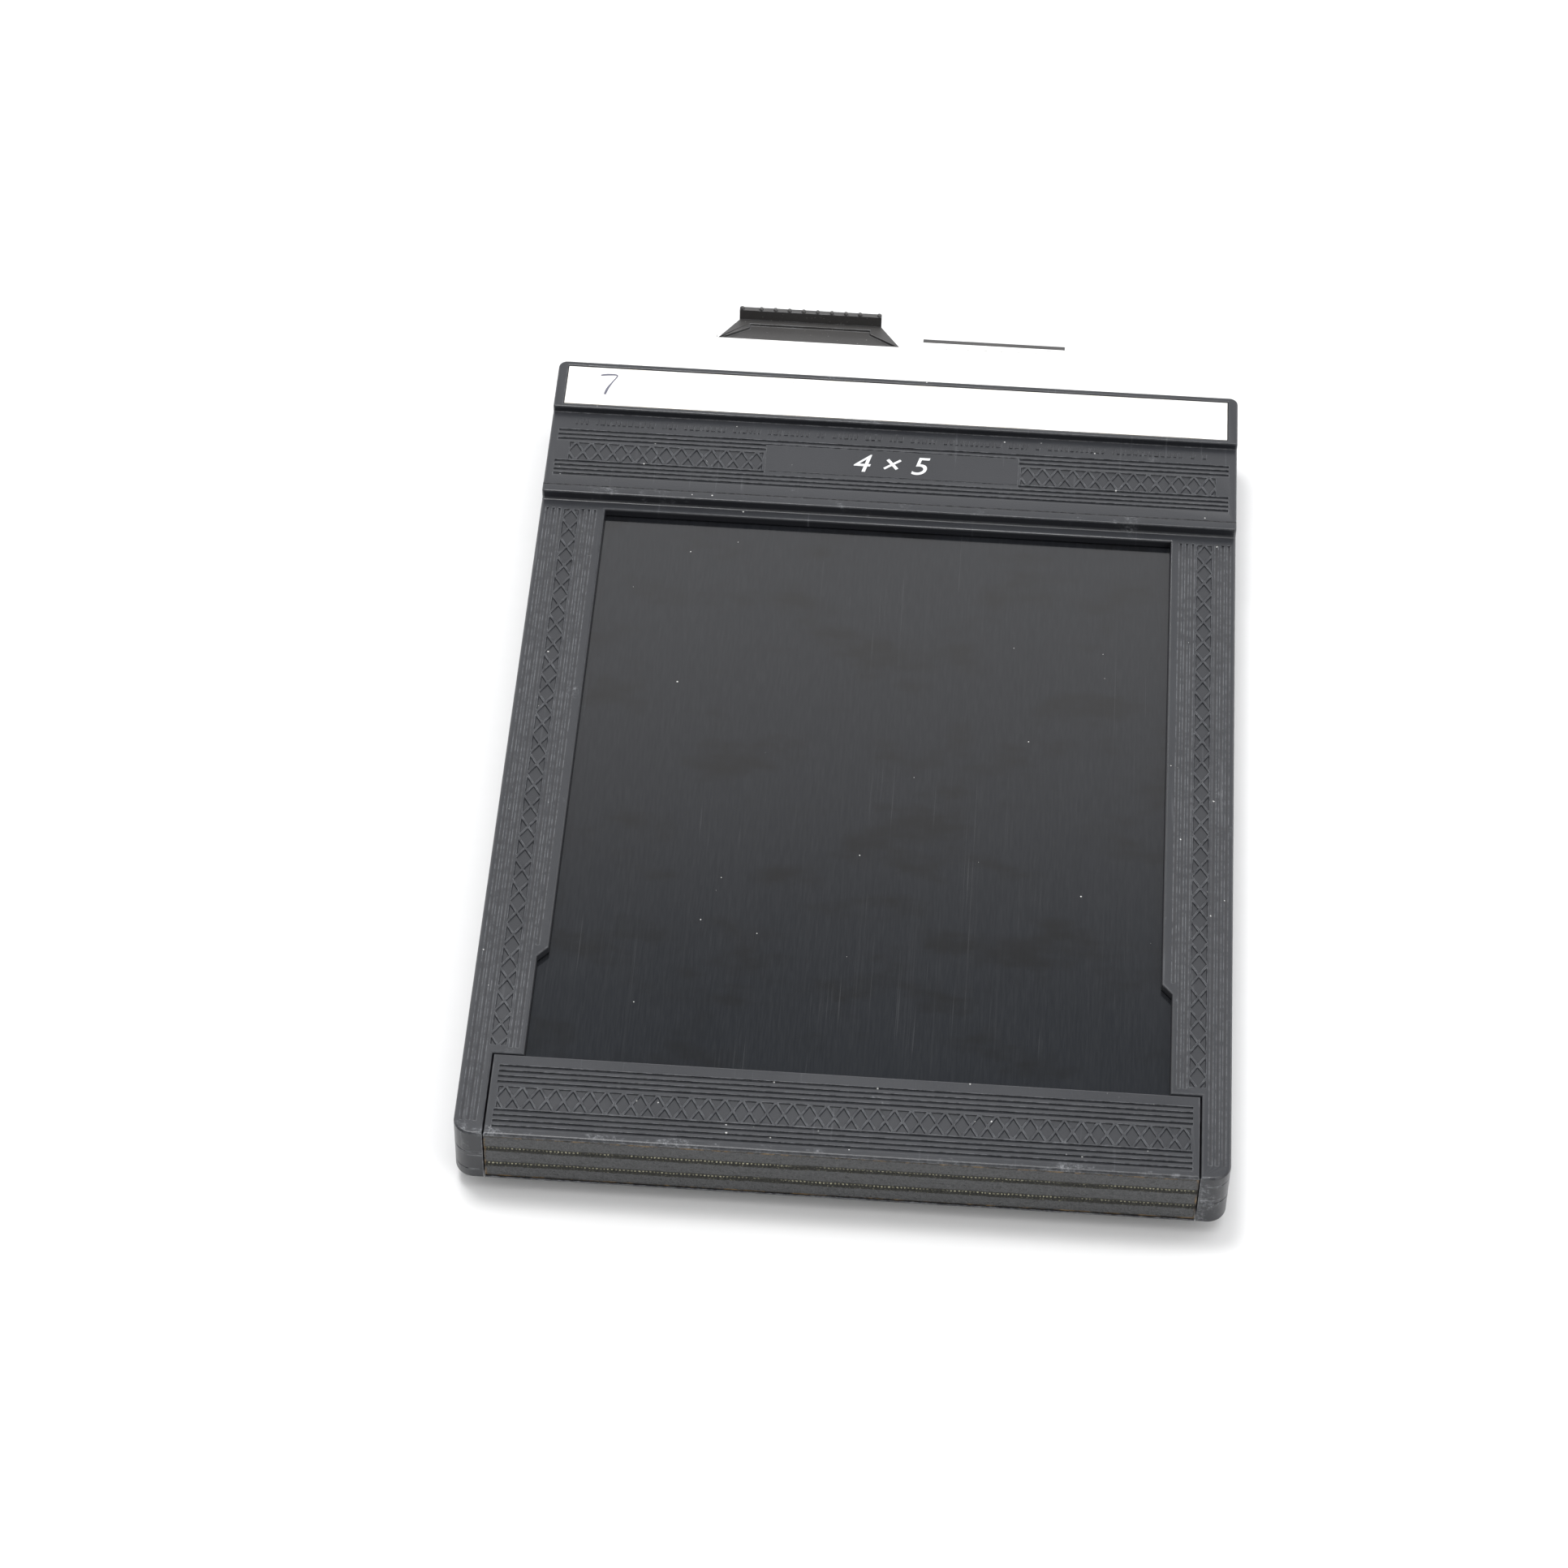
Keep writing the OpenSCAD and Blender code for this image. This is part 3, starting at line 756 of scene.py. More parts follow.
def cloth_finish():
    """Coated book cloth: leathery grain, satin coat, thread dots where the folds are worn,
    painted shadow of the flap's lip along the upper edge, a dark brown line at the ends,
    and brown old glue on both."""
    material, tree, point = finish("Hinge Cloth", Specular_IOR_Level=0.55)
    place = add_node(tree, "ShaderNodeSeparateXYZ",
                     {0: add_node(tree, "ShaderNodeUVMap", uv_map="cloth").outputs[0]})
    along, height = place.outputs[0], place.outputs[1]
    cells = add_node(tree, "ShaderNodeTexVoronoi", {"Vector": point, "Scale": 1700.0},
                     feature="SMOOTH_F1")
    crease = noise(tree, stretched(tree, point, (1500.0, 1500.0, 850.0), (0.0, 0.6, 0.0)),
                   1.0, 4.0, 0.65)
    leather = plus(tree, cells.outputs["Distance"], times(tree, crease, 1.5))
    wander = times(tree, math_of(tree, "SUBTRACT", noise(tree, point, 90.0, 3.0), 0.5), 0.55)
    fold = math_of(tree, "ABSOLUTE", plus(tree, math_of(tree, "SUBTRACT", height, FOLD_H),
                                          wander))
    fray = times(tree, noise(tree, point, 1300.0, 3.0, 0.7), 0.5)
    near_fold = between(tree, plus(tree, fold, fray), 0.8, 0.95, 1.0, 0.0)
    worn_here = between(tree, noise(tree, point, 150.0, 3.0, 0.6), 0.34, 0.5)
    shake = times(tree, noise(tree, point, 900.0, 1.0), 0.9)
    step = plus(tree, times(tree, along, 1 / 0.6), shake)
    in_stitch = math_of(tree, "ABSOLUTE",
                        math_of(tree, "SUBTRACT", math_of(tree, "FRACT", step), 0.5))
    reach = math_of(tree, "SQRT", plus(tree, math_of(tree, "POWER", times(tree, in_stitch, 0.6),
                                                     2.0), math_of(tree, "POWER", fold, 2.0)))
    thread = times(tree, between(tree, reach, 0.08, 0.2, 1.0, 0.0),
                   between(tree, noise(tree, point, 1500.0, 1.0), 0.3, 0.62, 0.25, 1.0))
    bare = times(tree, thread, worn_here)
    stray = times(tree, near_fold, between(tree, noise(tree, point, 4200.0, 2.0), 0.6, 0.72))
    bare = plus(tree, bare, times(tree, stray, 0.35), True)
    glue_here = between(tree, noise(tree, point, 420.0, 4.0, 0.7), 0.46, 0.62)
    at_end = between(tree, math_of(tree, "ABSOLUTE", along), FLAP_X - 0.42, FLAP_X - 0.22)
    at_top = between(tree, plus(tree, height, times(tree, fray, 0.6)), CLOTH_H - 0.36,
                     CLOTH_H - 0.22)
    rim = math_of(tree, "MAXIMUM", at_end, at_top)
    base = mixed(tree, cells.outputs["Distance"], colours().cloth,
                 [c * 2.2 for c in colours().cloth])
    base = laid(tree, base, near_fold, 0.95, (0.007, 0.0065, 0.003))
    base = laid(tree, base, bare, 0.9, colours().thread)
    # Painted shadow: dark line under the flap's lip along the upper edge; along the ends it is
    # the cloth's dark brown edge line
    base = laid(tree, base, rim, 0.85, (0.01, 0.007, 0.004))
    base = mixed(tree, times(tree, rim, glue_here), base, (0.14, 0.085, 0.03))
    rough = plus(tree, times(tree, near_fold, 0.35), 0.34, True)
    normal = bumped(tree, leather, 0.0002, 1.0)
    normal = bumped(tree, bare, 0.00005, 0.8, normal)
    feed(tree, Base_Color=base, Roughness=rough, Normal=normal)
    return material


def pile_finish():
    """Black velvet and felt."""
    material, tree, point = finish("Velvet", Sheen_Weight=0.35, Sheen_Roughness=0.4)
    pile = use(tree, "Pile", {"Vector": point, "Scale": 6000.0})
    base = mixed(tree, pile.outputs["Height"], (0.003, 0.003, 0.0035), (0.02, 0.02, 0.022))
    rough = plus(tree, times(tree, pile.outputs["Height"], 0.2), 0.8)
    normal = bumped(tree, pile.outputs["Height"], 0.0002, 1.0)
    feed(tree, Base_Color=base, Roughness=rough, Normal=normal)
    return material


def metal_finish(name, colour, tarnish, rough_from, metallic, brush):
    """Rolled strip or painted sheet: lengthwise rolling lines and patches of tarnish."""
    material, tree, point = finish(name, Metallic=metallic)
    lines = noise(tree, stretched(tree, point, brush), 1.0, 3.0, 0.6)
    patch = between(tree, noise(tree, point, 120.0, 5.0, 0.65), 0.42, 0.7)
    base = mixed(tree, times(tree, patch, 0.6), colour, tarnish)
    base = laid(tree, base, lines, 0.25, [min(1, c * 1.5) for c in colour])
    rough = plus(tree, times(tree, lines, 0.2), rough_from)
    rough = plus(tree, rough, times(tree, patch, 0.15), True)
    normal = bumped(tree, lines, 0.00001, 0.6)
    feed(tree, Base_Color=base, Roughness=rough, Normal=normal)
    return material


def ink_finish(name, colour, tooth):
    """Thin print or pencil: broken by the grain of what it lies on."""
    material, tree, point = finish(name)
    grain = noise(tree, point, tooth, 3.0, 0.7)
    base = mixed(tree, between(tree, grain, 0.35, 0.75), colour,
                 [c * 0.72 + 0.05 for c in colour])
    rough = plus(tree, times(tree, grain, 0.2), 0.45)
    feed(tree, Base_Color=base, Roughness=rough,
         Normal=bumped(tree, grain, 0.00001, 0.5))
    return material


def stage_finish():
    """Pale seamless floor."""
    material, tree, point = finish("Studio Floor", Roughness=0.9, Specular_IOR_Level=0.1)
    tooth = noise(tree, point, 300.0, 2.0)
    feed(tree, Base_Color=mixed(tree, tooth, (0.79, 0.79, 0.79), (0.81, 0.81, 0.81)))
    return material


def material_named(name, build):
    """A finish is built once and shared."""
    return bpy.data.materials.get(name) or build()


def dress(piece, material):
    """Gives a built piece its finish."""
    piece.data.materials.clear()
    piece.data.materials.append(material)


def dress_node(node, material):
    """Gives a CAD node a finish through its object, so its mesh isn't touched."""
    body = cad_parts[node]
    if not body.material_slots:
        body.data.materials.append(material)
    for place in body.material_slots:
        place.link = "OBJECT"
        place.material = material


# ---------------------------------------------------------------- relief of the mouldings

def rail_relief():
    """Grooves and a column of diamonds along each side rail."""
    s = sizes()
    first, gap, width = s.window_x + 1.8, s.groove_pitch, s.groove_width
    middle = s.window_x + 5.87
    top, notch_top, foot = 137.2, 38.6, 17.4
    outer_gap, outer_foot, diamond_width = 2.1, 2.6, 2.9
    parts = []
    for turn in (1, -1):
        for i in range(3):
            low = notch_top if i == 0 else foot
            parts.append(groove(turn * (first + i * gap), low, top, RAIL_H, True, width, 0.5))
            parts.append(groove(turn * (middle + outer_gap + i * gap), outer_foot, top,
                                RAIL_H, True, width, 0.5))
        count = int((top - foot) // s.diamond_length)
        y = top - s.diamond_length * (np.arange(count)[::-1] + 0.5)
        spots = np.column_stack([np.full(count, turn * middle), y])
        parts += diamond_lattice(diamond_width, s.diamond_length, spots, RAIL_H, True)
    return parts


def cross_relief(level, top, middle_y, height, reach, inner):
    """Relief across the holder: a row of diamonds between saw-toothed grooves, each with a
    steep wall towards the flap end. top counts the grooves above the row. Where a name
    panel interrupts the row, inner is its half width; otherwise it is 0."""
    s = sizes()
    gap, pitch = s.groove_pitch, s.diamond_width
    upper = middle_y + height / 2 + 0.86 + gap * np.arange(top)
    lower = middle_y - height / 2 - 0.14 - gap * np.arange(4)
    parts = []
    for y in np.concatenate([upper, lower]):
        spans = [(-reach, reach)]
        if inner and (y in upper[:2] or y == lower[0]):
            spans = [(-reach, -inner), (inner, reach)]
        for low, high in spans:
            parts.append(groove(y, low, high, level, False, 0.86, 0.92))
    if inner:
        count = int((reach - inner - 0.2) // pitch)
        x = inner + 0.2 + pitch * (np.arange(count) + 0.5)
        rows = [np.sort(-x), x]
    else:
        count = int((reach - pitch / 2) // pitch)
        rows = [pitch * np.arange(-count, count + 1)]
    for x in rows:
        spots = np.column_stack([x, np.full(len(x), middle_y)])
        parts += diamond_lattice(pitch, height, spots, level, False)
    return parts


def mid_relief():
    """Relief of the raised section between the lock rib and the writing strip."""
    return cross_relief(RAIL_H + MID_LEVEL, top=3, middle_y=150.05, height=4.6, reach=58.8,
                        inner=PANEL_X)


def side_line(mirror, height, deep):
    """Fine groove round a side wall: a wedge carried from the raised section down
    the side and round the corner to the flap. mirror is 1 for the right side, -1 for the
    left; height is its middle above the middle plane."""
    turn = np.linspace(0, -np.pi / 2, 15)
    arc = np.column_stack([np.cos(turn), np.sin(turn)])
    ways = np.concatenate([[[1, 0]], arc, [[0, -1]]])
    centre = [BODY_X - CORNER_R, CORNER_R]
    bases = np.concatenate([[[centre[0], BODY_Y - CORNER_R]],
                            np.repeat([centre], len(turn), 0), [[FLAP_X + 0.35, CORNER_R]]])
    near = (bases + ways * (CORNER_R - deep)) * [mirror, 1]
    far = (bases + ways * (CORNER_R + 0.4)) * [mirror, 1]
    return bar_of([np.column_stack([edge, np.full(len(edge), height + lift)])
                   for edge, lift in ((near, -0.02), (far, -0.25), (far, 0.25), (near, 0.02))])


def tick_row():
    """Row of small raised bars under the writing strip, in place of moulded wording."""
    level = RAIL_H + MID_LEVEL
    rng = np.random.default_rng(11)
    reach, lean, y0, y1 = 56.0, 0.12, 156.75, 157.95
    parts = []
    x = -reach
    while x < reach:
        width = 0.28 + 0.5 * rng.random()
        parts.append(sweep([[x, y0], [x + width, y0], [x + width + lean, y1], [x + lean, y1]],
                           level - 0.1, level + 0.14, 0, 2, 1))
        x += width + (0.42 if rng.random() < 0.8 else 1.5)
    return parts


class FILMHOLDER_OT_frames(bpy.types.Operator):
    """Builds the two half frames: rounded edges, rails, diamonds and lock rib relief"""

    bl_idname = "film_holder.frames"
    bl_label = "Half Frames"

    def execute(self, context):
        levels = (RAIL_H, RAIL_H + MID_LEVEL, RAIL_H + RIB_LEVEL, LABEL_H)

        def weight(middle, edge):
            if abs(edge.verts[0].co.z) < 0.01 and abs(edge.verts[1].co.z) < 0.01:
                return 0.4 if middle.y > BODY_Y - 0.01 else 0.0
            if middle.z > RAIL_H + MID_LEVEL + 0.02 and middle.z < RAIL_H + MID_LEVEL + 0.25:
                return 0.12
            if abs(middle.x) < PANEL_X and PANEL_ENDS[0] < middle.y < PANEL_ENDS[1]:
                return 0.12
            if middle.z > RAIL_H - 0.01:
                return 1.0 if middle.z < RAIL_H + 1.4 else 0.75
            if abs(middle.x) > BODY_X - 0.02 or middle.y > BODY_Y - 0.02:
                return 0.5
            return 0.0

        helper = cad_copy("front_frame", "half_frame_shape")
        rounded(helper, sizes().edge_round, weight)
        cut(helper, rail_relief() + mid_relief()
            + [side_line(1, 3.45, 0.14), side_line(-1, 0.75, 0.2)])
        cut(helper, [groove(154.32, -22.3, 22.3, RAIL_H + MID_LEVEL, False, 0.2, 0.6)])
        cut(helper, tick_row(), "UNION")
        for name, side in SIDES.items():
            piece = from_helper(helper, f"{name}_frame_moulding", side)
            crest(piece, side, levels)
            dress(piece, material_named("Moulded Plastic", moulding_finish))
            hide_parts(f"{name}_frame")
            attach(piece, "root")
        bpy.data.objects.remove(helper)
        return {"FINISHED"}


class FILMHOLDER_OT_flaps(bpy.types.Operator):
    """Builds the two loading flaps with their grooves and diamond band"""

    bl_idname = "film_holder.flaps"
    bl_label = "Loading Flaps"

    def execute(self, context):
        def weight(middle, edge):
            return 0.8 if middle.z > RAIL_H - 0.01 else 0.0

        helper = cad_copy("front_flap", "flap_shape")
        lip = sweep([[0.03, CLOTH_H], [1.0, CLOTH_H], [1.0, RAIL_H], [0.03, RAIL_H]],
                    -FLAP_X, FLAP_X, 1, 0, 2)
        cut(helper, [lip], "UNION")
        rounded(helper, sizes().edge_round, weight)
        cut(helper, cross_relief(RAIL_H, top=4, middle_y=7.5, height=4.6,
                                 reach=FLAP_X - 1.15, inner=0))
        for name, side in SIDES.items():
            piece = from_helper(helper, f"{name}_flap_moulding", side)
            crest(piece, side, (RAIL_H,))
            dress(piece, material_named("Moulded Plastic", moulding_finish))
            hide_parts(f"{name}_flap")
            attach(piece, f"{name}_flap")
        bpy.data.objects.remove(helper)
        return {"FINISHED"}


class FILMHOLDER_OT_handles(bpy.types.Operator):
    """Rounds the slides' moulded handles and their white plates"""

    bl_idname = "film_holder.handles"
    bl_label = "Slide Handles"

    def execute(self, context):
        handle = cad_copy("front_handle", "handle_shape")
        ridge_y = BODY_Y + 19

        def share(middle, edge):
            if middle.y > ridge_y:
                return 0.0
            return 1.0 if middle.y > BODY_Y + 12 else 0.5

        rounded(handle, 0.16, share, 2)
        plate = cad_copy("front_face_plate", "plate_shape")
        rounded(plate, 0.1, lambda middle, edge: 1.0, 2)
        for name, side in SIDES.items():
            piece = from_helper(handle, f"{name}_slide_handle", side, 35)
            dress(piece, material_named("Core Plastic", core_finish))
            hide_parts(f"{name}_handle")
            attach(piece, f"{name}_slide")
            piece = from_helper(plate, f"{name}_slide_white_plate", side, 35)
            dress(piece, material_named("White Plate", white_finish))
            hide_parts(f"{name}_face_plate")
            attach(piece, f"{name}_slide")
        bpy.data.objects.remove(handle)
        bpy.data.objects.remove(plate)
        return {"FINISHED"}


class FILMHOLDER_OT_blades(bpy.types.Operator):
    """Finishes the blades of the dark slides"""

    bl_idname = "film_holder.blades"
    bl_label = "Slide Blades"

    def execute(self, context):
        for name in SIDES:
            dress_node(f"{name}_blade", material_named("Blade Sheet", blade_finish))
        return {"FINISHED"}


def cloth_half():
    """Hinge cloth from the middle plane up to the flap's lip: a sheet over the end face,
    pressed in at the fold and slightly crowned between folds. Its depth behind the end
    plane is 0.16 + 0.2 fold - 0.11 crown - 0.07 middle + 0.016 ripple (0.4 + fold), and
    0.1 edge more along the upper edge; its inner face is flat, at 0.5 mm."""
    columns, rows = 281, 33
    x = np.linspace(-FLAP_X + 0.05, FLAP_X - 0.05, columns)
    z = np.linspace(0, CLOTH_H - 0.02, rows)
    grid_x, grid_z = np.meshgrid(x, z)
    fold = np.exp(-((grid_z - FOLD_H) / 0.3) ** 2)
    crown = np.sin(np.pi * np.clip((grid_z - FOLD_H) / (CLOTH_H - FOLD_H), 0, 1))
    middle = np.cos(np.pi / 2 * np.clip(grid_z / FOLD_H, 0, 1))
    ripple = (np.sin(grid_x * 0.9 + 1.3 * np.sin(grid_x * 0.21)) + np.sin(grid_x * 2.3 + 1.1))
    outer = 0.16 + 0.2 * fold - 0.11 * crown - 0.07 * middle + 0.016 * ripple * (0.4 + fold)
    edge = np.clip((grid_z - (CLOTH_H - 0.3)) / 0.3, 0, 1) ** 2
    outer = np.clip(outer + 0.1 * edge, 0.01, 0.45)
    front = np.stack([grid_x, outer, grid_z], -1).reshape(-1, 3)
    back = np.stack([grid_x, np.full_like(outer, 0.5), grid_z], -1).reshape(-1, 3)
    index = np.arange(columns * rows).reshape(rows, columns)
    a, b = index[:-1, :-1].ravel(), index[:-1, 1:].ravel()
    c, d = index[1:, 1:].ravel(), index[1:, :-1].ravel()
    shift = columns * rows
    faces = np.stack([a, b, c, d], 1).tolist()
    faces += (np.stack([d, c, b, a], 1) + shift).tolist()
    rim = np.concatenate([index[0, :], index[1:, -1], index[-1, -2::-1], index[-2:0:-1, 0]])
    after = np.roll(rim, -1)
    faces += np.stack([after, rim, rim + shift, after + shift], 1).tolist()
    return np.concatenate([front, back]), faces


class FILMHOLDER_OT_hinge_cloth(bpy.types.Operator):
    """Builds the cloth over the flap end as two halves, each pressed in at its fold"""

    bl_idname = "film_holder.hinge_cloth"
    bl_label = "Hinge Cloth"

    def execute(self, context):
        points, faces = cloth_half()
        for name, side in SIDES.items():
            piece = new_piece(f"{name}_hinge_cloth_strip", points, faces, side, 50)
            uv = piece.data.uv_layers.new(name="cloth")
            corner = np.empty(len(piece.data.loops), int)
            piece.data.loops.foreach_get("vertex_index", corner)
            uv.data.foreach_set("uv", points[corner][:, [0, 2]].astype(np.float32).ravel())
            dress(piece, material_named("Hinge Cloth", cloth_finish))
            reach = 0.3
            low = placed([[0, 0, FOLD_H - reach]], side)[0]
            high = placed([[0, 0, FOLD_H + reach]], side)[0]
            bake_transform(piece)
            if side == FRONT:
                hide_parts("front_hinge_cloth", "hinge_cloth_centre")
            else:
                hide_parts("rear_hinge_cloth")
        return {"FINISHED"}


class FILMHOLDER_OT_inside(bpy.types.Operator):
    """Finishes the divider, guides, bars, springs, velvet and writing strips"""

    bl_idname = "film_holder.inside"
    bl_label = "Inner Pieces"

    def execute(self, context):
        core = material_named("Core Plastic", core_finish)
        pile = material_named("Velvet", pile_finish)
        strip = material_named("Writing Strip", strip_finish)
        paint = metal_finish("Divider Paint", (0.012, 0.012, 0.014), (0.03, 0.03, 0.032), 0.4,
                             0.0, (60.0, 900.0, 60.0))
        dull = metal_finish("Guide Metal", (0.4, 0.41, 0.43), (0.2, 0.2, 0.2), 0.3, 1.0,
                            (1500.0, 20.0, 1500.0))
        bronze = metal_finish("Spring Bronze", (0.5, 0.33, 0.16), (0.22, 0.13, 0.06), 0.25,
                              1.0, (20.0, 1500.0, 1500.0))
        for node in ("slot_spacer", "end_bar"):
            dress_node(node, core)
        dress_node("septum", paint)
        for name in SIDES:
            dress_node(f"{name}_guide_left", dull)
            dress_node(f"{name}_guide_right", dull)
            dress_node(f"{name}_trap_spring", bronze)
            dress_node(f"{name}_writing_strip", strip)
            for piece in ("velvet_outer", "velvet_inner", "flap_felt"):
                dress_node(f"{name}_{piece}", pile)
        return {"FINISHED"}


def format_figures():
    """Flat figures 4 x 5 as a mesh in millimetres, centred, facing up."""
    curve = bpy.data.curves.new("figures", "FONT")
    curve.body = "4 × 5"
    curve.size = 6.2
    curve.shear = 0.25
    curve.align_x = "CENTER"
    curve.align_y = "CENTER"
    curve.extrude = 0.03
    curve.resolution_u = 6
    letters = object_of("figures", curve)
    graph = bpy.context.evaluated_depsgraph_get()
    mesh = bpy.data.meshes.new_from_object(letters.evaluated_get(graph))
    bpy.data.objects.remove(letters)
    points = points_of(mesh)
    faces = [list(face.vertices) for face in mesh.polygons]
    bpy.data.meshes.remove(mesh)
    points[:, :2] -= (points[:, :2].min(0) + points[:, :2].max(0)) / 2
    return points, faces


def pencil_stroke(path, width, level):
    """Thin raised ribbon along a smooth curve through the given points: each row of the
    grid is one place on the curve, moved across it by half the width either way."""
    path = np.asarray(path, float)
    t = np.linspace(0, len(path) - 1, 14 * len(path))
    i = np.clip(t.astype(int), 0, len(path) - 2)
    f = (t - i)[:, None]
    before, after = np.maximum(i - 1, 0), np.minimum(i + 2, len(path) - 1)
    p0, p1, p2, p3 = path[before], path[i], path[i + 1], path[after]
    line = 0.5 * (2 * p1 + (p2 - p0) * f + (2 * p0 - 5 * p1 + 4 * p2 - p3) * f ** 2
                  + (3 * p1 - p0 - 3 * p2 + p3) * f ** 3)
    run = np.gradient(line, axis=0)
    run /= np.linalg.norm(run, axis=1)[:, None] + 1e-9
    across = np.stack([-run[:, 1], run[:, 0]], 1)
    swell = width * (0.75 + 0.25 * np.sin(np.linspace(0, 9, len(line))))[:, None] / 2
    left, right = line + across * swell, line - across * swell
    return bar_of([np.column_stack([edge, np.full(len(edge), height)])
                   for edge, height in ((left, level), (left, level + 0.03),
                                        (right, level + 0.03), (right, level))])


class FILMHOLDER_OT_marks(bpy.types.Operator):
    """Prints the format figures on the name panels and pencils a number on the strip"""

    bl_idname = "film_holder.marks"
    bl_label = "Marks"

    def execute(self, context):
        print_white = ink_finish("Panel Print", (0.72, 0.73, 0.74), 2600.0)
        pencil = ink_finish("Pencil", (0.1, 0.1, 0.14), 3800.0)
        points, faces = format_figures()
        points = points + [0, PANEL_Y, RAIL_H + MID_LEVEL + PANEL_RISE + 0.02]
        for name, side in SIDES.items():
            piece = new_piece(f"{name}_format_figures", points, faces, side)
            dress(piece, print_white)
            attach(piece, "root")
        seven = [(-52.6, 168.2), (-51.2, 168.45), (-49.7, 168.3), (-50.4, 166.6),
                 (-51.1, 165.0), (-51.5, 163.4)]
        points, faces = pencil_stroke(seven, 0.46, STRIP_H - 0.005)
        piece = new_piece("front_pencil_number", points, faces, FRONT)
        dress(piece, pencil)
        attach(piece, "root")
        return {"FINISHED"}


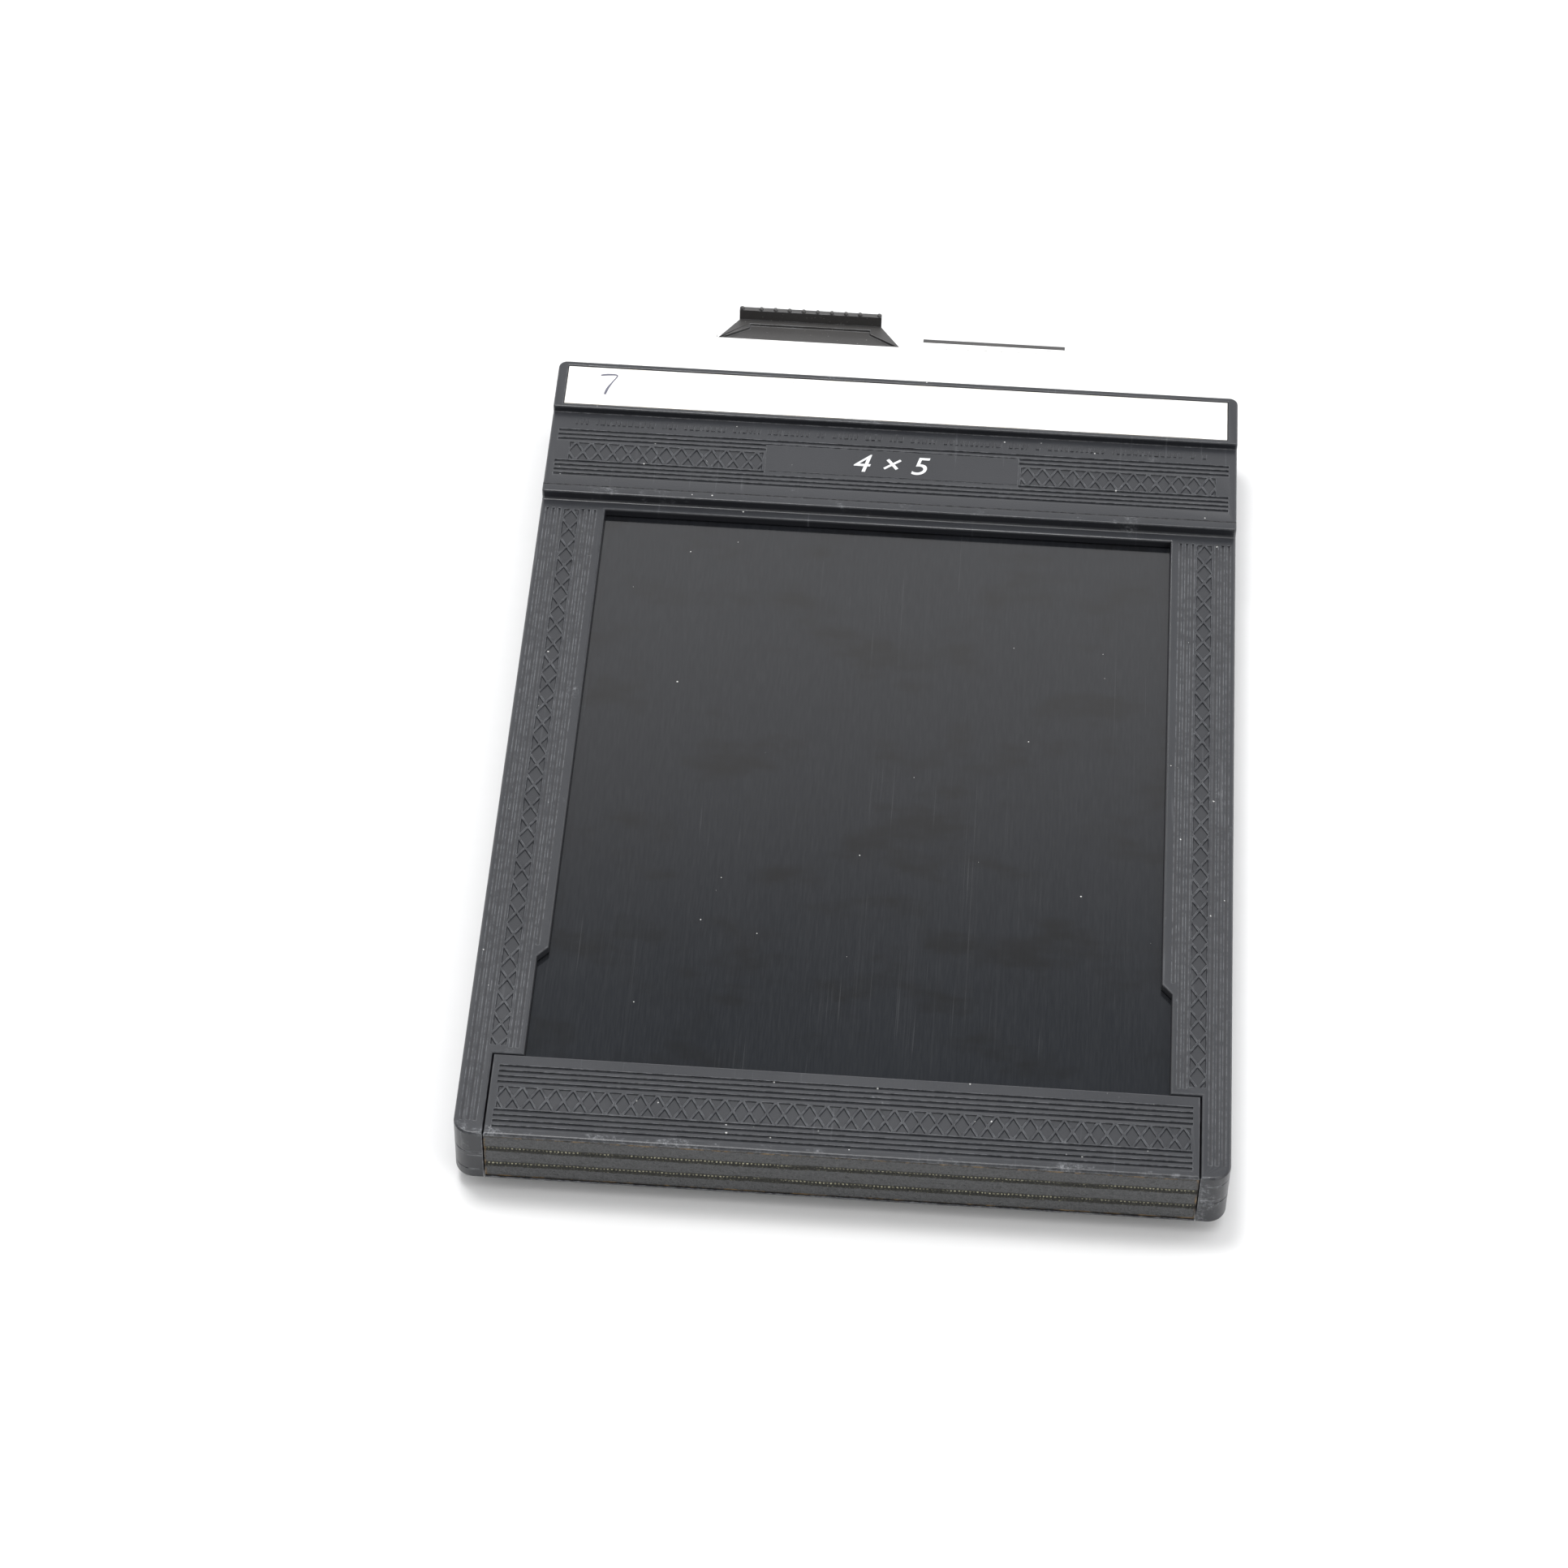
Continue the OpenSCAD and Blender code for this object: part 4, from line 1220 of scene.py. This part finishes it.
class FILMHOLDER_OT_stage(bpy.types.Operator):
    """Makes the pale floor, the soft lights and the camera"""

    bl_idname = "film_holder.stage"
    bl_label = "Stage"

    def execute(self, context):
        scene = context.scene
        scene.view_settings.view_transform = "Standard"
        mesh = bpy.data.meshes.new("studio_floor")
        span = 3.0
        mesh.from_pydata([(-span, -span, 0), (span, -span, 0), (span, span, 0),
                          (-span, span, 0)], [], [(0, 1, 2, 3)])
        floor = object_of("studio_floor", mesh)
        dress(floor, stage_finish())
        self.sky(scene)
        self.lights()
        self.camera(scene)
        return {"FINISHED"}

    def sky(self, scene):
        """Bright sweep behind the object, dim room above it and a soft light overhead."""
        world = bpy.data.worlds.new("Studio Surround")
        scene.world = world
        world.use_nodes = True
        tree = world.node_tree
        tree.nodes.clear()
        place = add_node(tree, "ShaderNodeSeparateXYZ",
                         {0: add_node(tree, "ShaderNodeTexCoord").outputs["Generated"]})
        far_side = self.tones(tree, place.outputs[2], (
            (43.5, (1.6, 1.6, 1.62)), (46.0, (1.5, 1.5, 1.53)), (48.9, (1.0, 1.0, 1.03)),
            (50.2, (0.38, 0.42, 0.47)), (60.0, (0.29, 0.325, 0.36)), (68.0, (2.6, 2.6, 2.6))))
        near_side = self.tones(tree, place.outputs[2], (
            (0.0, (0.75, 0.75, 0.75)), (40.0, (0.4, 0.4, 0.4)), (62.0, (0.6, 0.6, 0.6)),
            (72.0, (2.6, 2.6, 2.6))))
        side = between(tree, place.outputs[0], -0.8, 0.9, 0.4, 1.35)
        near_side = mixed(tree, 1.0, near_side, side, "MULTIPLY")
        tone = mixed(tree, between(tree, place.outputs[1], -0.2, 0.3), near_side, far_side)
        seen = add_node(tree, "ShaderNodeLightPath").outputs["Is Camera Ray"]
        tone = mixed(tree, seen, tone, (0.985 / 3, 0.985 / 3, 0.985 / 3))
        back = add_node(tree, "ShaderNodeBackground", {"Color": tone, "Strength": 3.0})
        add_node(tree, "ShaderNodeOutputWorld", {"Surface": back.outputs[0]})

    def tones(self, tree, height, stops):
        """Brightness against the angle above the horizon, a third of the given values."""
        ramp = tree.nodes.new("ShaderNodeValToRGB")
        tree.links.new(height, ramp.inputs[0])
        band = ramp.color_ramp.elements
        while len(band) < len(stops):
            band.new(0.5)
        for mark, (angle, tone) in zip(band, stops):
            mark.position = math.sin(math.radians(angle))
        for mark, (angle, tone) in zip(band, stops):
            mark.color = [value / 3 for value in tone] + [1]
        return ramp.outputs[0]

    def lights(self):
        """Soft panels: above the object, and at the front right."""
        for name, place, aim, width, power in (
                ("top_panel", (-0.25, 0.25, 1.4), (0, 0, 0), 0.4, 10.0),
                ("right_panel", (1.0, -0.9, 0.8), (0, 0, 0), 0.6, 6.0)):
            data = bpy.data.lights.new(name, "AREA")
            data.size = width
            data.energy = power
            lamp = object_of(name, data)
            lamp.location = place
            direction = np.array(aim, float) - np.array(place)
            lamp.rotation_euler = mathutils.Vector(direction).to_track_quat("-Z", "Y").to_euler()

    def camera(self, scene):
        """Camera at its distance from the aimed point, by azimuth, elevation and roll."""
        azimuth, elevation, roll = map(math.radians, (2.99, 48.18, 1.16))
        aim = placed([[-14.09, 81.12, 0.0]], FRONT)[0]
        distance = 0.8031
        back = np.array([math.sin(azimuth) * math.cos(elevation),
                         -math.cos(azimuth) * math.cos(elevation), math.sin(elevation)])
        level = np.array([math.cos(azimuth), math.sin(azimuth), 0])
        right = math.cos(roll) * level + math.sin(roll) * np.cross(back, level)
        data = bpy.data.cameras.new("camera")
        data.lens = 110.84
        data.sensor_width = 36.0
        data.clip_start = 0.05
        camera = object_of("camera", data)
        camera.location = aim + back * distance
        axes = np.column_stack([right, np.cross(back, right), back])
        camera.rotation_euler = mathutils.Matrix(axes.tolist()).to_euler()
        scene.camera = camera


class FILMHOLDER_PT_panel(bpy.types.Panel):
    """Lists the steps that build the film holder"""

    bl_idname = "FILMHOLDER_PT_panel"
    bl_label = "Film Holder"
    bl_space_type = "VIEW_3D"
    bl_region_type = "UI"
    bl_category = "Film Holder"

    def draw(self, context):
        for step in STEPS:
            self.layout.operator(step.bl_idname)
        for group in (sizes(), colours()):
            for name in group.__annotations__:
                self.layout.prop(group, name)


STEPS = (FILMHOLDER_OT_stage, FILMHOLDER_OT_frames, FILMHOLDER_OT_flaps,
         FILMHOLDER_OT_handles, FILMHOLDER_OT_blades, FILMHOLDER_OT_hinge_cloth,
         FILMHOLDER_OT_inside, FILMHOLDER_OT_marks)
CLASSES = (FilmHolderSizes, FilmHolderColours, *STEPS, FILMHOLDER_PT_panel)


def register():
    """Adds the classes and the scene's two property groups."""
    for item in CLASSES:
        bpy.utils.register_class(item)
    bpy.types.Scene.film_holder_sizes = bpy.props.PointerProperty(type=FilmHolderSizes)
    bpy.types.Scene.film_holder_colours = bpy.props.PointerProperty(type=FilmHolderColours)


def unregister():
    """Takes them away again."""
    del bpy.types.Scene.film_holder_sizes
    del bpy.types.Scene.film_holder_colours
    for item in reversed(CLASSES):
        bpy.utils.unregister_class(item)


def main():
    """Registers the add-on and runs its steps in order."""
    register()
    build_effects()
    for step in STEPS:
        group, name = step.bl_idname.split(".")
        getattr(getattr(bpy.ops, group), name)()


if __name__ == "__main__":
    main()
